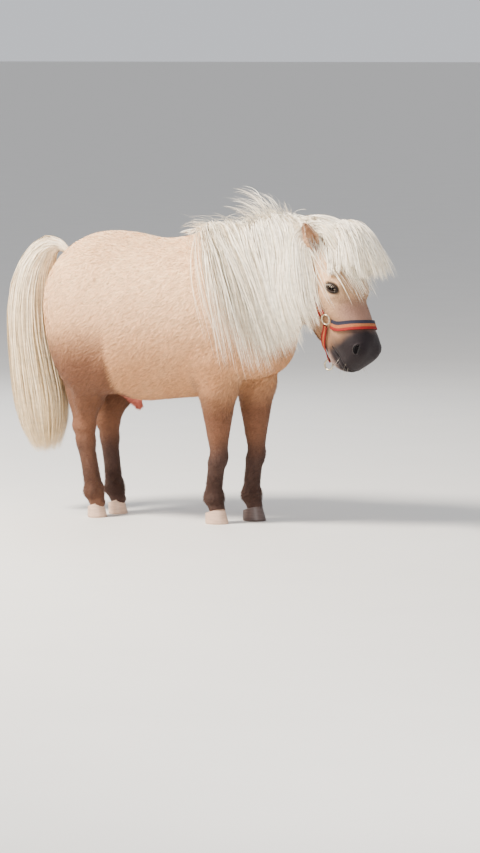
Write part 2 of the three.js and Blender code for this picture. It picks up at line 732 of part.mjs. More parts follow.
function earGeometry({ base, axis, facing }) {
  const across = new THREE.Vector3().crossVectors(axis, facing).normalize();
  const front = new THREE.Vector3().crossVectors(across, axis).normalize();
  const centreAt = (share) => base.clone()
    .addScaledVector(axis, share * EAR_LENGTH)
    .addScaledVector(front, 9 * share * share);
  const ringAt = (share, widthShare, shift) => roundRing(
    centreAt(share).addScaledVector(front, shift),
    axis, across, front, EAR_WIDTH * widthShare, EAR_DEPTH * widthShare, EAR_SIDES,
  );
  const root = base.clone().addScaledVector(axis, -EAR_ROOT);
  const outer = [roundRing(root, axis, across, front, 30, 28, EAR_SIDES)];
  const inner = [ringAt(0.08, 0.1, 6)];
  for (let step = 0; step < EAR_STEPS; step += 1) {
    const share = step / EAR_STEPS;
    outer.push(ringAt(share, earProfile(share), 0));
    if (step > 0) {
      inner.push(ringAt(share + 0.02, earProfile(share) * 0.88, EAR_DEPTH * 0.3 * earProfile(share)));
    }
  }
  outer.push([centreAt(1)]);
  inner.push(ringAt(1.05, 0.12, EAR_DEPTH * 0.2));
  return { outer: loft(outer), inner: loft(inner) };
}

const earPlans = [
  { name: "ear_left", side: 1, axis: vec(0.26, 0.3, 1), facing: vec(0.85, 0.35, -0.3) },
  { name: "ear_right", side: -1, axis: vec(-0.24, -0.45, 0.86), facing: vec(0.55, -0.83, 0.0) },
];

const earSockets = earPlans.map((plan) => {
  const axis = plan.axis.clone().normalize();
  const { point } = headSurface(14, 66 * plan.side, -2);
  const { outer, inner } = earGeometry({ base: point, axis, facing: plan.facing });
  addPart(plan.name, solidOf(outer).subtract(solidOf(inner)), CREAM);
  return solidOf(grown(outer, GAP * 1.2));
});

// Halter: straps that lie just off the head, each edge of a strap set out from the surface
const STRAP_THICK = 3;
const STRAP_LIFT = 2.2;
const STRAP_WIDTH = 22;
const NOSEBAND_WIDTH = 30;
const RING_WIRE = 2.6;

function strapGeometry(places, width, steps) {
  const curve = new THREE.CatmullRomCurve3(places.map((place) => headToWorld(...place)));
  const path = curve.getSpacedPoints(steps).map((point) => settle(bodyDistance, point, STRAP_LIFT, 8));
  return loft(path.map((point, index) => {
    const before = path[Math.max(index - 1, 0)];
    const after = path[Math.min(index + 1, path.length - 1)];
    const out = slopeOf(bodyDistance, point).normalize();
    const across = new THREE.Vector3().crossVectors(after.clone().sub(before), out).normalize();
    const edge = (side, lift) => settle(
      bodyDistance, point.clone().addScaledVector(across, (side * width) / 2), lift, 6,
    );
    const top = STRAP_LIFT + STRAP_THICK;
    return [edge(-1, STRAP_LIFT), edge(1, STRAP_LIFT), edge(1, top), edge(0, top), edge(-1, top)];
  }));
}

// Side rings low on the cheeks, and the ring under the chin
const SIDE_RING = [238, 78, -54];
const CHIN_RING = [muzzleEnd - 56, 0, -139];
const RING_RADIUS = 15;

function ringGeometry(radius) {
  return new THREE.TorusGeometry(radius, RING_WIRE, 5, 12);
}

const strapGap = RING_RADIUS + RING_WIRE + 1.5;

function sideways(side, [x, y, z]) {
  return [x, y * side, z];
}

const nosebandHalf = [
  [SIDE_RING[0] + strapGap, 84, SIDE_RING[2] + 10],
  [274, 78, -24],
  [292, 52, 26],
];
const nosebandPlaces = [
  ...nosebandHalf.map((place) => sideways(-1, place)),
  [298, 0, 40],
  ...nosebandHalf.toReversed(),
];
addPart("halter_noseband", strapGeometry(nosebandPlaces, NOSEBAND_WIDTH, 20), STRAP_RED, 0.8);

const cheekPaths = [];
for (const [name, side] of [["left", 1], ["right", -1]]) {
  const ringPlace = sideways(side, [SIDE_RING[0], SIDE_RING[1] + 12, SIDE_RING[2]]);
  const ringSpot = headSurface(...ringPlace, RING_WIRE + STRAP_LIFT);
  const ring = placed(ringGeometry(RING_RADIUS), ringSpot.point, ringSpot.out, headTurned(1, 0, 0));
  addPart(`halter_side_ring_${name}`, ring, RING_STEEL, 0.35, 1);
  const cheekPlaces = [
    [SIDE_RING[0] - strapGap, 88, SIDE_RING[2] - 4],
    [130, 96, -66],
    [60, 84, -44],
    [-2, 74, -30],
  ];
  cheekPaths.push(cheekPlaces.map((place) => sideways(side, place)));
  const cheek = strapGeometry(cheekPaths.at(-1), STRAP_WIDTH, 9);
  addPart(`halter_cheek_${name}`, cheek, STRAP_RED, 0.8);
  const chinPlaces = [
    [SIDE_RING[0] + strapGap * 0.7, 74, SIDE_RING[2] - strapGap * 0.8],
    [272, 58, -100],
    [muzzleEnd - 86, 34, -128],
    [CHIN_RING[0], 16, CHIN_RING[2]],
  ];
  const chin = strapGeometry(chinPlaces.map((place) => sideways(side, place)), STRAP_WIDTH - 4, 8);
  addPart(`halter_chin_${name}`, chin, STRAP_RED, 0.8);
}

const crownPlaces = [
  [-20, 66, -20],
  [-24, 40, 22],
  [-26, 0, 44],
  [-24, -40, 22],
  [-20, -66, -20],
];
addPart("halter_crown", strapGeometry(crownPlaces, STRAP_WIDTH, 10), STRAP_RED, 0.8);

const chinSpot = headSurface(CHIN_RING[0], 0, CHIN_RING[2], RING_RADIUS + RING_WIRE + 3);
const chinRing = placed(ringGeometry(RING_RADIUS), chinSpot.point, headTurned(0, 1, 0), headTurned(1, 0, 0));
addPart("halter_chin_ring", chinRing, RING_STEEL, 0.35, 1);

// Hair falls along the body: each path starts at a root and is pushed off the surface as it goes
function fallPath({ start, direction, pull, length, steps, stiffness, clear }) {
  const path = [start.clone()];
  const heading = direction.clone().normalize();
  const step = length / steps;
  for (let index = 1; index <= steps; index += 1) {
    const point = path[index - 1].clone().addScaledVector(heading, step);
    const wanted = clear(index / steps);
    if (hairDistance(point.x, point.y, point.z) < wanted) {
      settle(hairDistance, point, wanted, 3);
    }
    path.push(point);
    heading.copy(point).sub(path[index - 1]).normalize();
    heading.multiplyScalar(stiffness).addScaledVector(pull, 1 - stiffness).normalize();
  }
  return path;
}

// The hair also keeps clear of the ears and the cheek straps
const hairBlockers = [];
for (const plan of earPlans) {
  const { point } = headSurface(14, 66 * plan.side, -2);
  const tip = point.clone().addScaledVector(plan.axis.clone().normalize(), EAR_LENGTH);
  hairBlockers.push(limb(point.toArray(), EAR_WIDTH * 0.55, tip.toArray(), EAR_WIDTH * 0.2));
}
for (const places of cheekPaths) {
  const route = places.map((place) => headSurface(...place, -STRAP_LIFT).point.toArray());
  for (let index = 1; index < route.length; index += 1) {
    hairBlockers.push(limb(route[index - 1], STRAP_WIDTH * 0.45, route[index], STRAP_WIDTH * 0.45));
  }
}

function hairDistance(x, y, z) {
  return hairBlockers.reduce(
    (least, form) => Math.min(least, limbDistance(form, x, y, z)),
    bodyDistance(x, y, z),
  );
}

// One seeded source of small differences between locks
function randomSource(seed) {
  let state = seed;
  return (low, high) => {
    state = (state * 1664525 + 1013904223) % 4294967296;
    return low + ((high - low) * state) / 4294967296;
  };
}

// A flat tapering lock with a low ridge, from its root to a pointed tip
const HAIR_CLEAR = 5.5;

function lockWidth(share) {
  return (0.4 + 0.6 * Math.sin(Math.PI * Math.min(share * 1.8, 0.5))) * (1 - 0.78 * share ** 3.2);
}

function lockGeometry(path, width, thickness) {
  const before = new THREE.Vector3();
  const rings = path.slice(0, -1).map((point, index) => {
    const share = index / (path.length - 1);
    const along = path[index + 1].clone().sub(path[Math.max(index - 1, 0)]).normalize();
    const away = slopeOf(hairDistance, point, 12);
    const across = new THREE.Vector3().crossVectors(along, away).normalize().addScaledVector(before, 1.2);
    across.addScaledVector(along, -across.dot(along)).normalize();
    before.copy(across);
    const out = new THREE.Vector3().crossVectors(across, along).normalize();
    const half = (width / 2) * lockWidth(share);
    const edge = (reach) => {
      const corner = point.clone().addScaledVector(across, reach);
      const deficit = HAIR_CLEAR - hairDistance(corner.x, corner.y, corner.z);
      const raise = index > 0 ? Math.min(Math.max(deficit * 1.2, 0), half * 0.8) : 0;
      return corner.addScaledVector(out, raise);
    };
    const left = edge(-half);
    const right = edge(half);
    const ridge = left.clone().add(right).multiplyScalar(0.5);
    return [left, right, ridge.addScaledVector(out, thickness * (1 - 0.7 * share))];
  });
  rings.push([path.at(-1)]);
  return loft(rings);
}

function joined(geometries) {
  return geometries.map(solidOf).reduce((sum, solid) => sum.add(solid));
}

// Mane: a root strip sunk in the crest of the neck, and the hair that falls to each side
const MANE_FRONT_X = POLL.x - 62;
const MANE_REAR_X = 112;

function crestPoint(share) {
  const x = MANE_FRONT_X + (MANE_REAR_X - MANE_FRONT_X) * share;
  const y = POLL.y * 0.7 * Math.max(1 - share * 2, 0);
  let low = 700;
  let high = 1100;
  for (let round = 0; round < 20; round += 1) {
    const middle = (low + high) / 2;
    if (bodyDistance(x, y, middle) < 0) {
      low = middle;
    } else {
      high = middle;
    }
  }
  return vec(x, y, high);
}

const crestLine = Array.from({ length: 9 }, (_, index) => crestPoint(index / 8).add(vec(0, 0, -3)));
const maneStrip = loft(ringsAlong(crestLine, leftward, () => [36, 26], 6));
const maneSocket = solidOf(grown(maneStrip, GAP * 1.2));

const LOCK_DEPTH = 9;

// A layer of locks in a row along the crest, from the poll to the withers
function maneLocks(random, { side, count, offset, width, lengthAt, leanAt, rise, lift, steps }) {
  return Array.from({ length: count }, (_, index) => {
    const share = (0.94 * (index + offset + random(-0.08, 0.08))) / count;
    const swing = random(-0.04, 0.04);
    const path = fallPath({
      start: crestPoint(share).add(vec(0, side * 4, -3)),
      direction: vec(leanAt(share) * 0.5, side * random(0.8, 1), rise),
      pull: vec(leanAt(share) + swing, side * -0.12, -1).normalize(),
      length: lengthAt(share) * random(0.9, 1.08),
      steps,
      stiffness: 0.3,
      clear: (down) => 7.5 + lift * Math.min(down * 4, 1),
    });
    return lockGeometry(path, width * random(0.9, 1.1), LOCK_DEPTH);
  });
}

const rightLength = (share) => 370 + 270 * Math.min(share / 0.35, 1) - 20 * share;
const leftLength = (share) => 250 + 120 * Math.sin(Math.PI * share) - 70 * share;
const rightLean = (share) => 0.29 - 0.14 * share;
const leftLean = (share) => -0.05 - 0.2 * share;
const maneRandom = randomSource(25);
const manePieces = [
  maneStrip,
  ...maneLocks(maneRandom, {
    side: -1, count: 6, offset: 0.3, width: 60, rise: 0.4, lift: 5, steps: 6,
    lengthAt: rightLength, leanAt: rightLean,
  }),
  ...maneLocks(maneRandom, {
    side: -1, count: 6, offset: 0.8, width: 68, rise: 0.7, lift: 19, steps: 6,
    lengthAt: rightLength, leanAt: rightLean,
  }),
  ...maneLocks(maneRandom, {
    side: -1, count: 3, offset: 0.6, width: 72, lengthAt: (share) => rightLength(share) * 0.8,
    leanAt: (share) => rightLean(share) - 0.06, rise: 0.9, lift: 34, steps: 5,
  }),
  ...maneLocks(maneRandom, {
    side: 1, count: 4, offset: 0.4, width: 80, rise: 0.5, lift: 5, steps: 5,
    lengthAt: leftLength, leanAt: leftLean,
  }),
  ...maneLocks(maneRandom, {
    side: 1, count: 2, offset: 0.9, width: 74, rise: 0.8, lift: 18, steps: 5,
    lengthAt: leftLength, leanAt: leftLean,
  }),
];

// Wisps that the wind lifts off the crest towards the back
const WISPS = 3;
for (let index = 0; index < WISPS; index += 1) {
  const share = 0.3 + (0.62 * index) / (WISPS - 1);
  const reach = maneRandom(85, 125);
  const root = crestPoint(share).add(vec(0, 0, -4));
  const sway = maneRandom(-25, 10);
  const curve = new THREE.QuadraticBezierCurve3(
    root,
    root.clone().add(vec(-reach * 0.15, sway * 0.3, reach * 0.8)),
    root.clone().add(vec(-reach * 0.9, sway, reach * maneRandom(0.7, 1))),
  );
  manePieces.push(lockGeometry(curve.getPoints(3), 24, 8));
}
addPart("mane", joined(manePieces), WHITE_HAIR);

// Tail hair: a short core below the dock, and locks that hang round it almost to the fetlocks
const TAIL_MIDDLE_X = -492;
const TAIL_TIP_HEIGHT = 165;
const corePath = [[-405, 846], [-446, 830], [-474, 770], [-486, 660], [-490, 540]].map(([x, z]) => vec(x, 0, z));
const tailCore = loft(ringsAlong(corePath, leftward, (share) => [
  56 + 84 * Math.sin(Math.PI * share * 0.8),
  48 + 48 * Math.sin(Math.PI * share * 0.8),
], 8));

function tailLocks(random, { count, reachX, reachY, width, drop, first }) {
  return Array.from({ length: count }, (_, index) => {
    const turn = ((index + first) / count) * Math.PI * 2;
    const back = -Math.cos(turn);
    const side = Math.sin(turn);
    const rootShare = 0.45 + 0.25 * back;
    const root = vec(-398 - 44 * rootShare, side * 12, 846 - 40 * rootShare * rootShare);
    const tip = TAIL_TIP_HEIGHT + drop + random(0, 55);
    const curve = new THREE.CatmullRomCurve3([
      root,
      vec(-440 - 20 * back, side * reachY * 0.55, 856 + 12 * back),
      vec(TAIL_MIDDLE_X + 24 + back * reachX * 0.7, side * reachY * 0.85, 750),
      vec(TAIL_MIDDLE_X + back * reachX, side * reachY, 590),
      vec(TAIL_MIDDLE_X + 10 + back * reachX * random(0.85, 1), side * reachY * random(0.85, 1), 400),
      vec(TAIL_MIDDLE_X + 32 + back * reachX * 0.9, side * reachY * random(0.7, 0.95), tip),
    ]);
    return lockGeometry(curve.getPoints(6), width * random(0.9, 1.1), 12);
  });
}

const tailRandom = randomSource(13);
const tailPieces = [
  dock,
  tailCore,
  ...tailLocks(tailRandom, { count: 5, reachX: 34, reachY: 52, width: 54, drop: 0, first: 0 }),
  ...tailLocks(tailRandom, { count: 9, reachX: 66, reachY: 92, width: 64, drop: 25, first: 0.5 }),
];
addPart("tail", joined(tailPieces), WHITE_HAIR);

// Forelock: a root patch between the ears, and the hair that falls over the brow
const forelockSpot = headSurface(22, 0, 50);
const forelockPatch = new THREE.SphereGeometry(1, 12, 8).scale(30, 26, 12);
const patchGeometry = placed(forelockPatch, forelockSpot.point, forelockSpot.out, headAlong);
const FORELOCK_FAN = THREE.MathUtils.degToRad(92);

function forelockLocks(random, { count, width, length, lift, rise, steps }) {
  return Array.from({ length: count }, (_, index) => {
    const turn = FORELOCK_FAN * (((index + 0.5) / count) * 2 - 1) - 0.12;
    const outward = headAlong.clone().multiplyScalar(Math.cos(turn));
    outward.addScaledVector(headLeft, Math.sin(turn));
    const front = Math.cos(turn * 0.9);
    const path = fallPath({
      start: forelockSpot.point.clone().addScaledVector(outward, 6),
      direction: outward.clone().addScaledVector(headBrow, rise),
      pull: vec(0, 0, -1).addScaledVector(outward, 0.35).normalize(),
      length: length * (0.72 + 0.28 * front) * random(0.9, 1.06),
      steps,
      stiffness: 0.62,
      clear: (down) => 5 + lift * (0.35 + 0.65 * front) * Math.sin(Math.PI * (0.12 + 0.62 * down)),
    });
    return lockGeometry(path, width * random(0.88, 1.12), 10, 0.2);
  });
}

const forelockRandom = randomSource(11);
const forelockCore = new THREE.SphereGeometry(1, 8, 5).scale(64, 56, 28);
const forelockPieces = [
  patchGeometry,
  placed(forelockCore, headSurface(46, 0, 60, 34).point, forelockSpot.out, headAlong),
  ...forelockLocks(forelockRandom, { count: 7, width: 58, length: 190, lift: 34, rise: 0.9, steps: 5 }),
  ...forelockLocks(forelockRandom, { count: 7, width: 60, length: 225, lift: 70, rise: 2.4, steps: 5 }),
];
addPart("forelock", joined(forelockPieces), WHITE_HAIR);

// The head is cut by the roots of the ears and the forelock
headSolid = headSolid
  .subtract(earSockets[0])
  .subtract(earSockets[1])
  .subtract(solidOf(grown(patchGeometry, GAP * 1.2)));
addPart("head", headSolid, CREAM);

// Neck, with the socket of the mane's root strip
const NECK_STEP = 42;
const neckMesh = surfaceMesh(
  bodyDistance,
  spaced(100, POLL.x + 60, NECK_STEP),
  spaced(-190, 190, NECK_STEP - 6),
  spaced(560, 1000, NECK_STEP - 4),
);
const neckSolid = solidOf(neckMesh)
  .intersect(regionSolid(neckPlanes, 0))
  .subtract(regionSolid(headPlanes, GAP))
  .subtract(earSockets[0])
  .subtract(earSockets[1])
  .subtract(maneSocket);
addPart("neck", neckSolid, CREAM);

// Trunk
const TRUNK_STEP = 50;
const trunkMesh = surfaceMesh(
  bodyDistance,
  spaced(BUTTOCK_X - 50, BREAST_X + 60, TRUNK_STEP),
  spaced(-BARREL_WIDTH / 2 - 45, BARREL_WIDTH / 2 + 45, TRUNK_STEP - 6),
  spaced(325, CROUP_HEIGHT + 50, TRUNK_STEP - 6),
);
let trunkSolid = solidOf(trunkMesh)
  .subtract(regionSolid(neckPlanes, GAP))
  .subtract(regionSolid(headPlanes, GAP));
for (const plan of legPlans) {
  trunkSolid = trunkSolid.subtract(regionSolid(legPlanes(plan), GAP));
}
trunkSolid = trunkSolid.subtract(dockSocket).subtract(solidOf(grown(sheath, GAP * 1.2))).subtract(maneSocket);
addPart("torso", trunkSolid, CREAM);

// The origin lies on the floor under the middle of the whole pony
const bounds = new THREE.Box3().setFromObject(pony);
const middle = bounds.getCenter(new THREE.Vector3());
pony.position.set(-middle.x, -middle.y, 0);

export default pony;
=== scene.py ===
"""A cream shetland pony standing in a halter: its looks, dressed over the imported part."""

import math

import bmesh
import bpy
import numpy as np
from mathutils import Matrix, Vector
from mathutils.kdtree import KDTree


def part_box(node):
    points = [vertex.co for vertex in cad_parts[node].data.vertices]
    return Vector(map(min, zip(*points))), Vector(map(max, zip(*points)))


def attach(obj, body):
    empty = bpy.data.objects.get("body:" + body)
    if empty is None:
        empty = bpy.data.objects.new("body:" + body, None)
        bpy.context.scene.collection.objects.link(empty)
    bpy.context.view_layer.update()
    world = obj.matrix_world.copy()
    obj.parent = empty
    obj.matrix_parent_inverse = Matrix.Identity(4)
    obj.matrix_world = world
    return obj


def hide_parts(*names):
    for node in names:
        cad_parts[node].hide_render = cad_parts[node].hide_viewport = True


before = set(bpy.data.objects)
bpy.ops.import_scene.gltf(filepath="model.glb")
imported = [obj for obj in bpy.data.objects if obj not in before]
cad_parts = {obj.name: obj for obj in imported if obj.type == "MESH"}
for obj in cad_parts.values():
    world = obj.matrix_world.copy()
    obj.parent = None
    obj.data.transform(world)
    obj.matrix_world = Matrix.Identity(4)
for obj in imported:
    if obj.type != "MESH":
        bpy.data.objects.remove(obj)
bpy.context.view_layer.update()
RANDOM_SEED = 21
rng = np.random.default_rng(RANDOM_SEED)

# Driving sizes in millimetres, in the part's own drawing, before it is centred on its middle
CROUP_HEIGHT = 912
BACK_HEIGHT = 893
BELLY_HEIGHT = 377
BARREL_WIDTH = 468
BUTTOCK_X = -402
BREAST_X = 416
KNEE_HEIGHT = 215
HOCK_HEIGHT = 268
FETLOCK_HEIGHT = 86
HOOF_LENGTH = 76
HOOF_WIDTH = 68
HEAD_LENGTH = 394
HEAD_WIDTH = 184
EYE_ALONG = 162
EYE_RADIUS = 18
EAR_LENGTH = 88
POLL = np.array([556.0, -50.0, 884.0])
HEAD_TURN = math.radians(-19)
HEAD_PITCH = math.radians(60.8)
HEAD_ROLL = math.radians(-8)
NECK_ARCH = [372, -8, 890]
MANE_FRONT_X = POLL[0] - 62
MANE_REAR_X = 112

# The drawing's origin in the frame, from where the right fore hoof stands
RIGHT_FORE_SOLE = (188, -58)
hoof_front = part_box("fore_right_hoof")[1][0]
ORIGIN_X = hoof_front - (RIGHT_FORE_SOLE[0] + HOOF_LENGTH / 2) / 1000
SIDES = {"left": 1, "right": -1}
DOWN = np.array([0, 0, -1])


def to_frame(points):
    """Drawing millimetres to frame metres."""
    placed = np.asarray(points, dtype=float) * 0.001
    placed[..., 0] += ORIGIN_X
    return placed


def unit(vectors):
    return vectors / np.maximum(np.linalg.norm(vectors, axis=-1, keepdims=True), 1e-9)


def smooth_step(low, high, value):
    share = np.clip((value - low) / (high - low), 0, 1)
    return share * share * (3 - 2 * share)


def mix(a, b, share):
    return a + (b - a) * np.asarray(share)[..., None]


def stacked(*parts):
    """Rows of vectors from their parts, each a number or an array."""
    return np.stack(np.broadcast_arrays(*parts), axis=-1)


def nearest(points, places):
    """How far each point is from the nearest of some places."""
    return np.min([np.linalg.norm(points - place, axis=-1) for place in places], axis=0)


# Anatomy: every form gives its distance from points, and the forms run into one another
FORM_REACH = 110.0
FAR = 600.0


def ball(x, y, z, rx, ry, rz):
    """A rounded form: its distance, and the box round it."""
    middle, radii = np.array([x, y, z], dtype=float), np.array([rx, ry, rz], dtype=float)

    def measure(points):
        offset = points - middle
        near = np.linalg.norm(offset / radii, axis=-1)
        slope = np.linalg.norm(offset / radii**2, axis=-1)
        return near * (near - 1) / np.maximum(slope, 1e-6)

    return measure, middle - radii, middle + radii


def ball_pair(x, y, z, *radii):
    return [ball(x, y * side, z, *radii) for side in SIDES.values()]


def limb(start, start_radius, end, end_radius, flatness=1):
    """A tapered, round-ended form: its distance, and the box round it."""
    ends = np.array([start, end], dtype=float)
    reach = np.array([[start_radius], [end_radius]]) * max(flatness, 1)
    run = ends[1] - ends[0]

    def measure(points):
        offset = points - ends[0]
        along = np.clip(offset @ run / (run @ run), 0, 1)
        side = offset - along[..., None] * run
        side[..., 1] /= flatness
        return np.linalg.norm(side, axis=-1) - (start_radius + along * (end_radius - start_radius))

    return measure, (ends - reach).min(axis=0), (ends + reach).max(axis=0)


def blend_min(a, b, radius):
    """The smaller of two distances, rounded where they meet."""
    overlap = np.maximum(radius - np.abs(a - b), 0) / radius
    return np.minimum(a, b) - overlap * overlap * radius / 4


def group_distance(forms, blend, points):
    """Distance to forms that run into one another; forms far from a point are passed over."""
    flat = points.reshape(-1, 3)
    distance = np.full(len(flat), FAR)
    for measure, low, high in forms:
        near = np.nonzero(np.all((flat > low - FORM_REACH) & (flat < high + FORM_REACH), axis=-1))[0]
        if len(near):
            distance[near] = blend_min(distance[near], measure(flat[near]), blend)
    return distance.reshape(points.shape[:-1])


BARREL_MID = (BACK_HEIGHT + BELLY_HEIGHT) / 2
BARREL_DEPTH = (BACK_HEIGHT - BELLY_HEIGHT) / 2

trunk_forms = [
    ball(-75, 0, BARREL_MID - 6, 262, BARREL_WIDTH / 2, BARREL_DEPTH - 2),
    ball(105, 0, BARREL_MID + 6, 240, BARREL_WIDTH / 2 - 14, BARREL_DEPTH - 10),
    *ball_pair(212, 70, 650, 140, 104, 190),
    *ball_pair(BREAST_X - 98, 48, 578, 88, 78, 112),
    ball(BREAST_X - 120, 0, 655, 100, 92, 110),
    ball(150, 0, 800, 130, 52, 84),
    ball(-190, 0, CROUP_HEIGHT - 118, 150, 88, 108),
    *ball_pair(-232, 74, 700, 150, 136, 180),
    *ball_pair(BUTTOCK_X + 92, 68, 645, 82, 78, 140),
    *ball_pair(-225, 128, 560, 125, 88, 160),
    *ball_pair(-140, 138, 505, 66, 58, 84),
]

px, py, pz = POLL
neck_forms = [
    limb([190, 0, 790], 96, [px - 45, py + 8, pz - 52], 62, 0.72),
    limb([270, 0, 680], 132, [px - 62, py + 6, pz - 112], 76, 0.78),
    limb([160, 0, 852], 44, NECK_ARCH, 46, 0.8),
    limb(NECK_ARCH, 46, [px - 30, py + 4, pz - 18], 36, 0.8),
    limb([330, 0, 640], 92, [px - 66, py + 4, pz - 142], 58, 0.85),
]

leg_plans = {
    "fore_right": {"side": -1, "top": (214, -96), "knee": (200, -72), "sole": (188, -58)},
    "fore_left": {"side": 1, "top": (256, 96), "knee": (262, 74), "sole": (262, 62)},
    "hind_right": {"side": -1, "top": (-205, -122), "knee": (-268, -68), "sole": (-229, -62)},
    "hind_left": {"side": 1, "top": (-190, 122), "knee": (-250, 64), "sole": (-214, 54)},
}


def foot_forms(fetlock, sole):
    """The fetlock with the ergot behind it, and the pastern."""
    fx, fy, fz = fetlock
    return [
        ball(fx, fy, fz, 28, 26, 26),
        ball(fx - 15, fy, fz - 8, 18, 18, 20),
        limb([fx, fy, fz - 12], 23, [sole[0], sole[1], 46], 26),
    ]


def fore_leg_forms(side, top, knee, sole):
    """Upper arm, forearm, knee, cannon and tendon, and the foot."""
    fetlock = (sole[0] - 7, sole[1], FETLOCK_HEIGHT)
    fx, fy, fz = fetlock
    kx, ky, kz = knee[0] - 3, knee[1], KNEE_HEIGHT - 26
    return [
        limb([top[0] - 8, top[1] + 12 * side, 520], 74, [top[0], top[1], 430], 60),
        limb([top[0], top[1], 430], 56, [knee[0], knee[1], KNEE_HEIGHT + 42], 32),
        limb([top[0] - 26, top[1], 425], 40, [knee[0] - 6, knee[1], KNEE_HEIGHT + 70], 26),
        ball(knee[0] + 2, knee[1], KNEE_HEIGHT, 31, 30, 36),
        limb([kx, ky, kz], 25, [fx + 1, fy, fz + 26], 21),
        limb([kx - 12, ky, kz], 17, [fx - 8, fy, fz + 20], 16),
        *foot_forms(fetlock, sole),
    ]


def hind_leg_forms(side, top, knee, sole):
    """Thigh, gaskin, hamstring, hock with its point, cannon and tendon, and the foot."""
    fetlock = (sole[0] - 9, sole[1], FETLOCK_HEIGHT)
    fx, fy, fz = fetlock
    hx, hy, hz = knee[0], knee[1], HOCK_HEIGHT
    point = (hx - 27, hy, hz + 20)
    return [
        limb([top[0] - 10, top[1], 530], 84, [hx + 26, hy + 22 * side, hz + 120], 50),
        limb([hx + 24, hy + 22 * side, hz + 125], 48, [hx + 4, hy + 2 * side, hz + 34], 31),
        limb([point[0] - 8, hy + 22 * side, hz + 190], 34, [point[0] + 2, hy, hz + 34], 14),
        ball(*point, 17, 17, 24),
        limb([hx, hy, hz + 16], 34, [hx + 4, hy, hz - 26], 28),
        limb([hx + 5, hy, hz - 26], 25, [fx - 1, fy, fz + 24], 21),
        limb([hx - 10, hy, hz - 20], 20, [fx - 12, fy, fz + 16], 16),
        *foot_forms(fetlock, sole),
    ]


leg_forms = [
    (fore_leg_forms if name.startswith("fore") else hind_leg_forms)(**plan)
    for name, plan in leg_plans.items()
]

sheath_forms = [
    limb([-158, 0, 412], 30, [-124, 0, 380], 21),
    limb([-124, 0, 380], 17, [-110, 0, 354], 13),
]

# The head's own frame: X along it to the muzzle, Y to its left, Z out of the brow
heading = Vector((math.cos(HEAD_TURN), math.sin(HEAD_TURN), 0))
head_along = heading * math.cos(HEAD_PITCH) - Vector((0, 0, math.sin(HEAD_PITCH)))
head_left = Matrix.Rotation(HEAD_ROLL, 3, head_along) @ Vector((0, 0, 1)).cross(heading)
head_brow = head_along.cross(head_left)
HEAD_AXES = np.array([head_along, head_left, head_brow])


def to_head(points):
    return (points - POLL) @ HEAD_AXES.T


def from_head(points):
    return np.asarray(points, dtype=float) @ HEAD_AXES + POLL


def head_turned(vector):
    return np.asarray(vector, dtype=float) @ HEAD_AXES


MUZZLE_END = HEAD_LENGTH
EYE_ACROSS = HEAD_WIDTH / 2 - 15
EYE_UP = 12
head_forms = [
    ball(46, 0, -22, 88, 72, 70),
    ball(128, 0, -14, 102, 78, 64),
    *ball_pair(EYE_ALONG - 12, 58, 6, 46, 30, 27),
    *ball_pair(EYE_ALONG, EYE_ACROSS - 10, EYE_UP - 2, 27, 23, 23),
    *ball_pair(135, 50, -98, 86, 37, 72),
    ball(128, 0, -82, 84, 56, 70),
    limb([160, 0, -16], 58, [MUZZLE_END - 80, 0, -16], 49, 1.32),
    *[limb([175, 38 * side, -50], 49, [MUZZLE_END - 82, 20 * side, -42], 46) for side in (1, -1)],
    *[limb([185, 28 * side, -108], 39, [MUZZLE_END - 70, 10 * side, -92], 33) for side in (1, -1)],
    ball(MUZZLE_END - 54, 0, -36, 56, 63, 55),
    *ball_pair(MUZZLE_END - 45, 36, -14, 36, 26, 27),
    ball(MUZZLE_END - 24, 0, -50, 25, 50, 38),
    ball(MUZZLE_END - 53, 0, -108, 33, 36, 24),
    ball(MUZZLE_END - 31, 0, -95, 23, 33, 17),
    ball(MUZZLE_END - 22, 0, -72, 24, 38, 26),
]


def body_distance(points):
    """How far points lie outside the pony's flesh, in millimetres."""
    distance = group_distance(trunk_forms, 60, points)
    distance = blend_min(distance, group_distance(neck_forms, 50, points), 60)
    distance = blend_min(distance, group_distance(head_forms, 22, to_head(points)), 30)
    for forms in leg_forms:
        distance = blend_min(distance, group_distance(forms, 18, points), 34)
    return distance


CORNERS = np.array([(1, -1, -1), (-1, -1, 1), (-1, 1, -1), (1, 1, 1)], dtype=float)


def slope_and_value(distance, points, step=0.8):
    """Slope and height of the distance, from four places round each point."""
    readings = [distance(points + corner * step) for corner in CORNERS]
    slope = sum(reading[..., None] * corner for reading, corner in zip(readings, CORNERS))
    return slope / (4 * step), sum(readings) / 4


def slope_of(distance, points):
    return slope_and_value(distance, points)[0]


def settle(distance, points, wanted, rounds=3):
    """Moves points along the slope until they lie at the wanted distance."""
    for _ in range(rounds):
        slope, value = slope_and_value(distance, points)
        error = value - wanted
        points = points - slope * (error / np.maximum((slope**2).sum(-1), 0.2))[..., None]
    return points


# Meshing: nets over a grid of the distance, vertices then settled on the skin
SKIN_STEP = 7.5
COAT_DEPTH = 2.2
COARSE = 4
FINE_REACH = SKIN_STEP * COARSE * 2.2
NET_LOW = (-440, -280, 30)
NET_HIGH = (800, 260, 970)


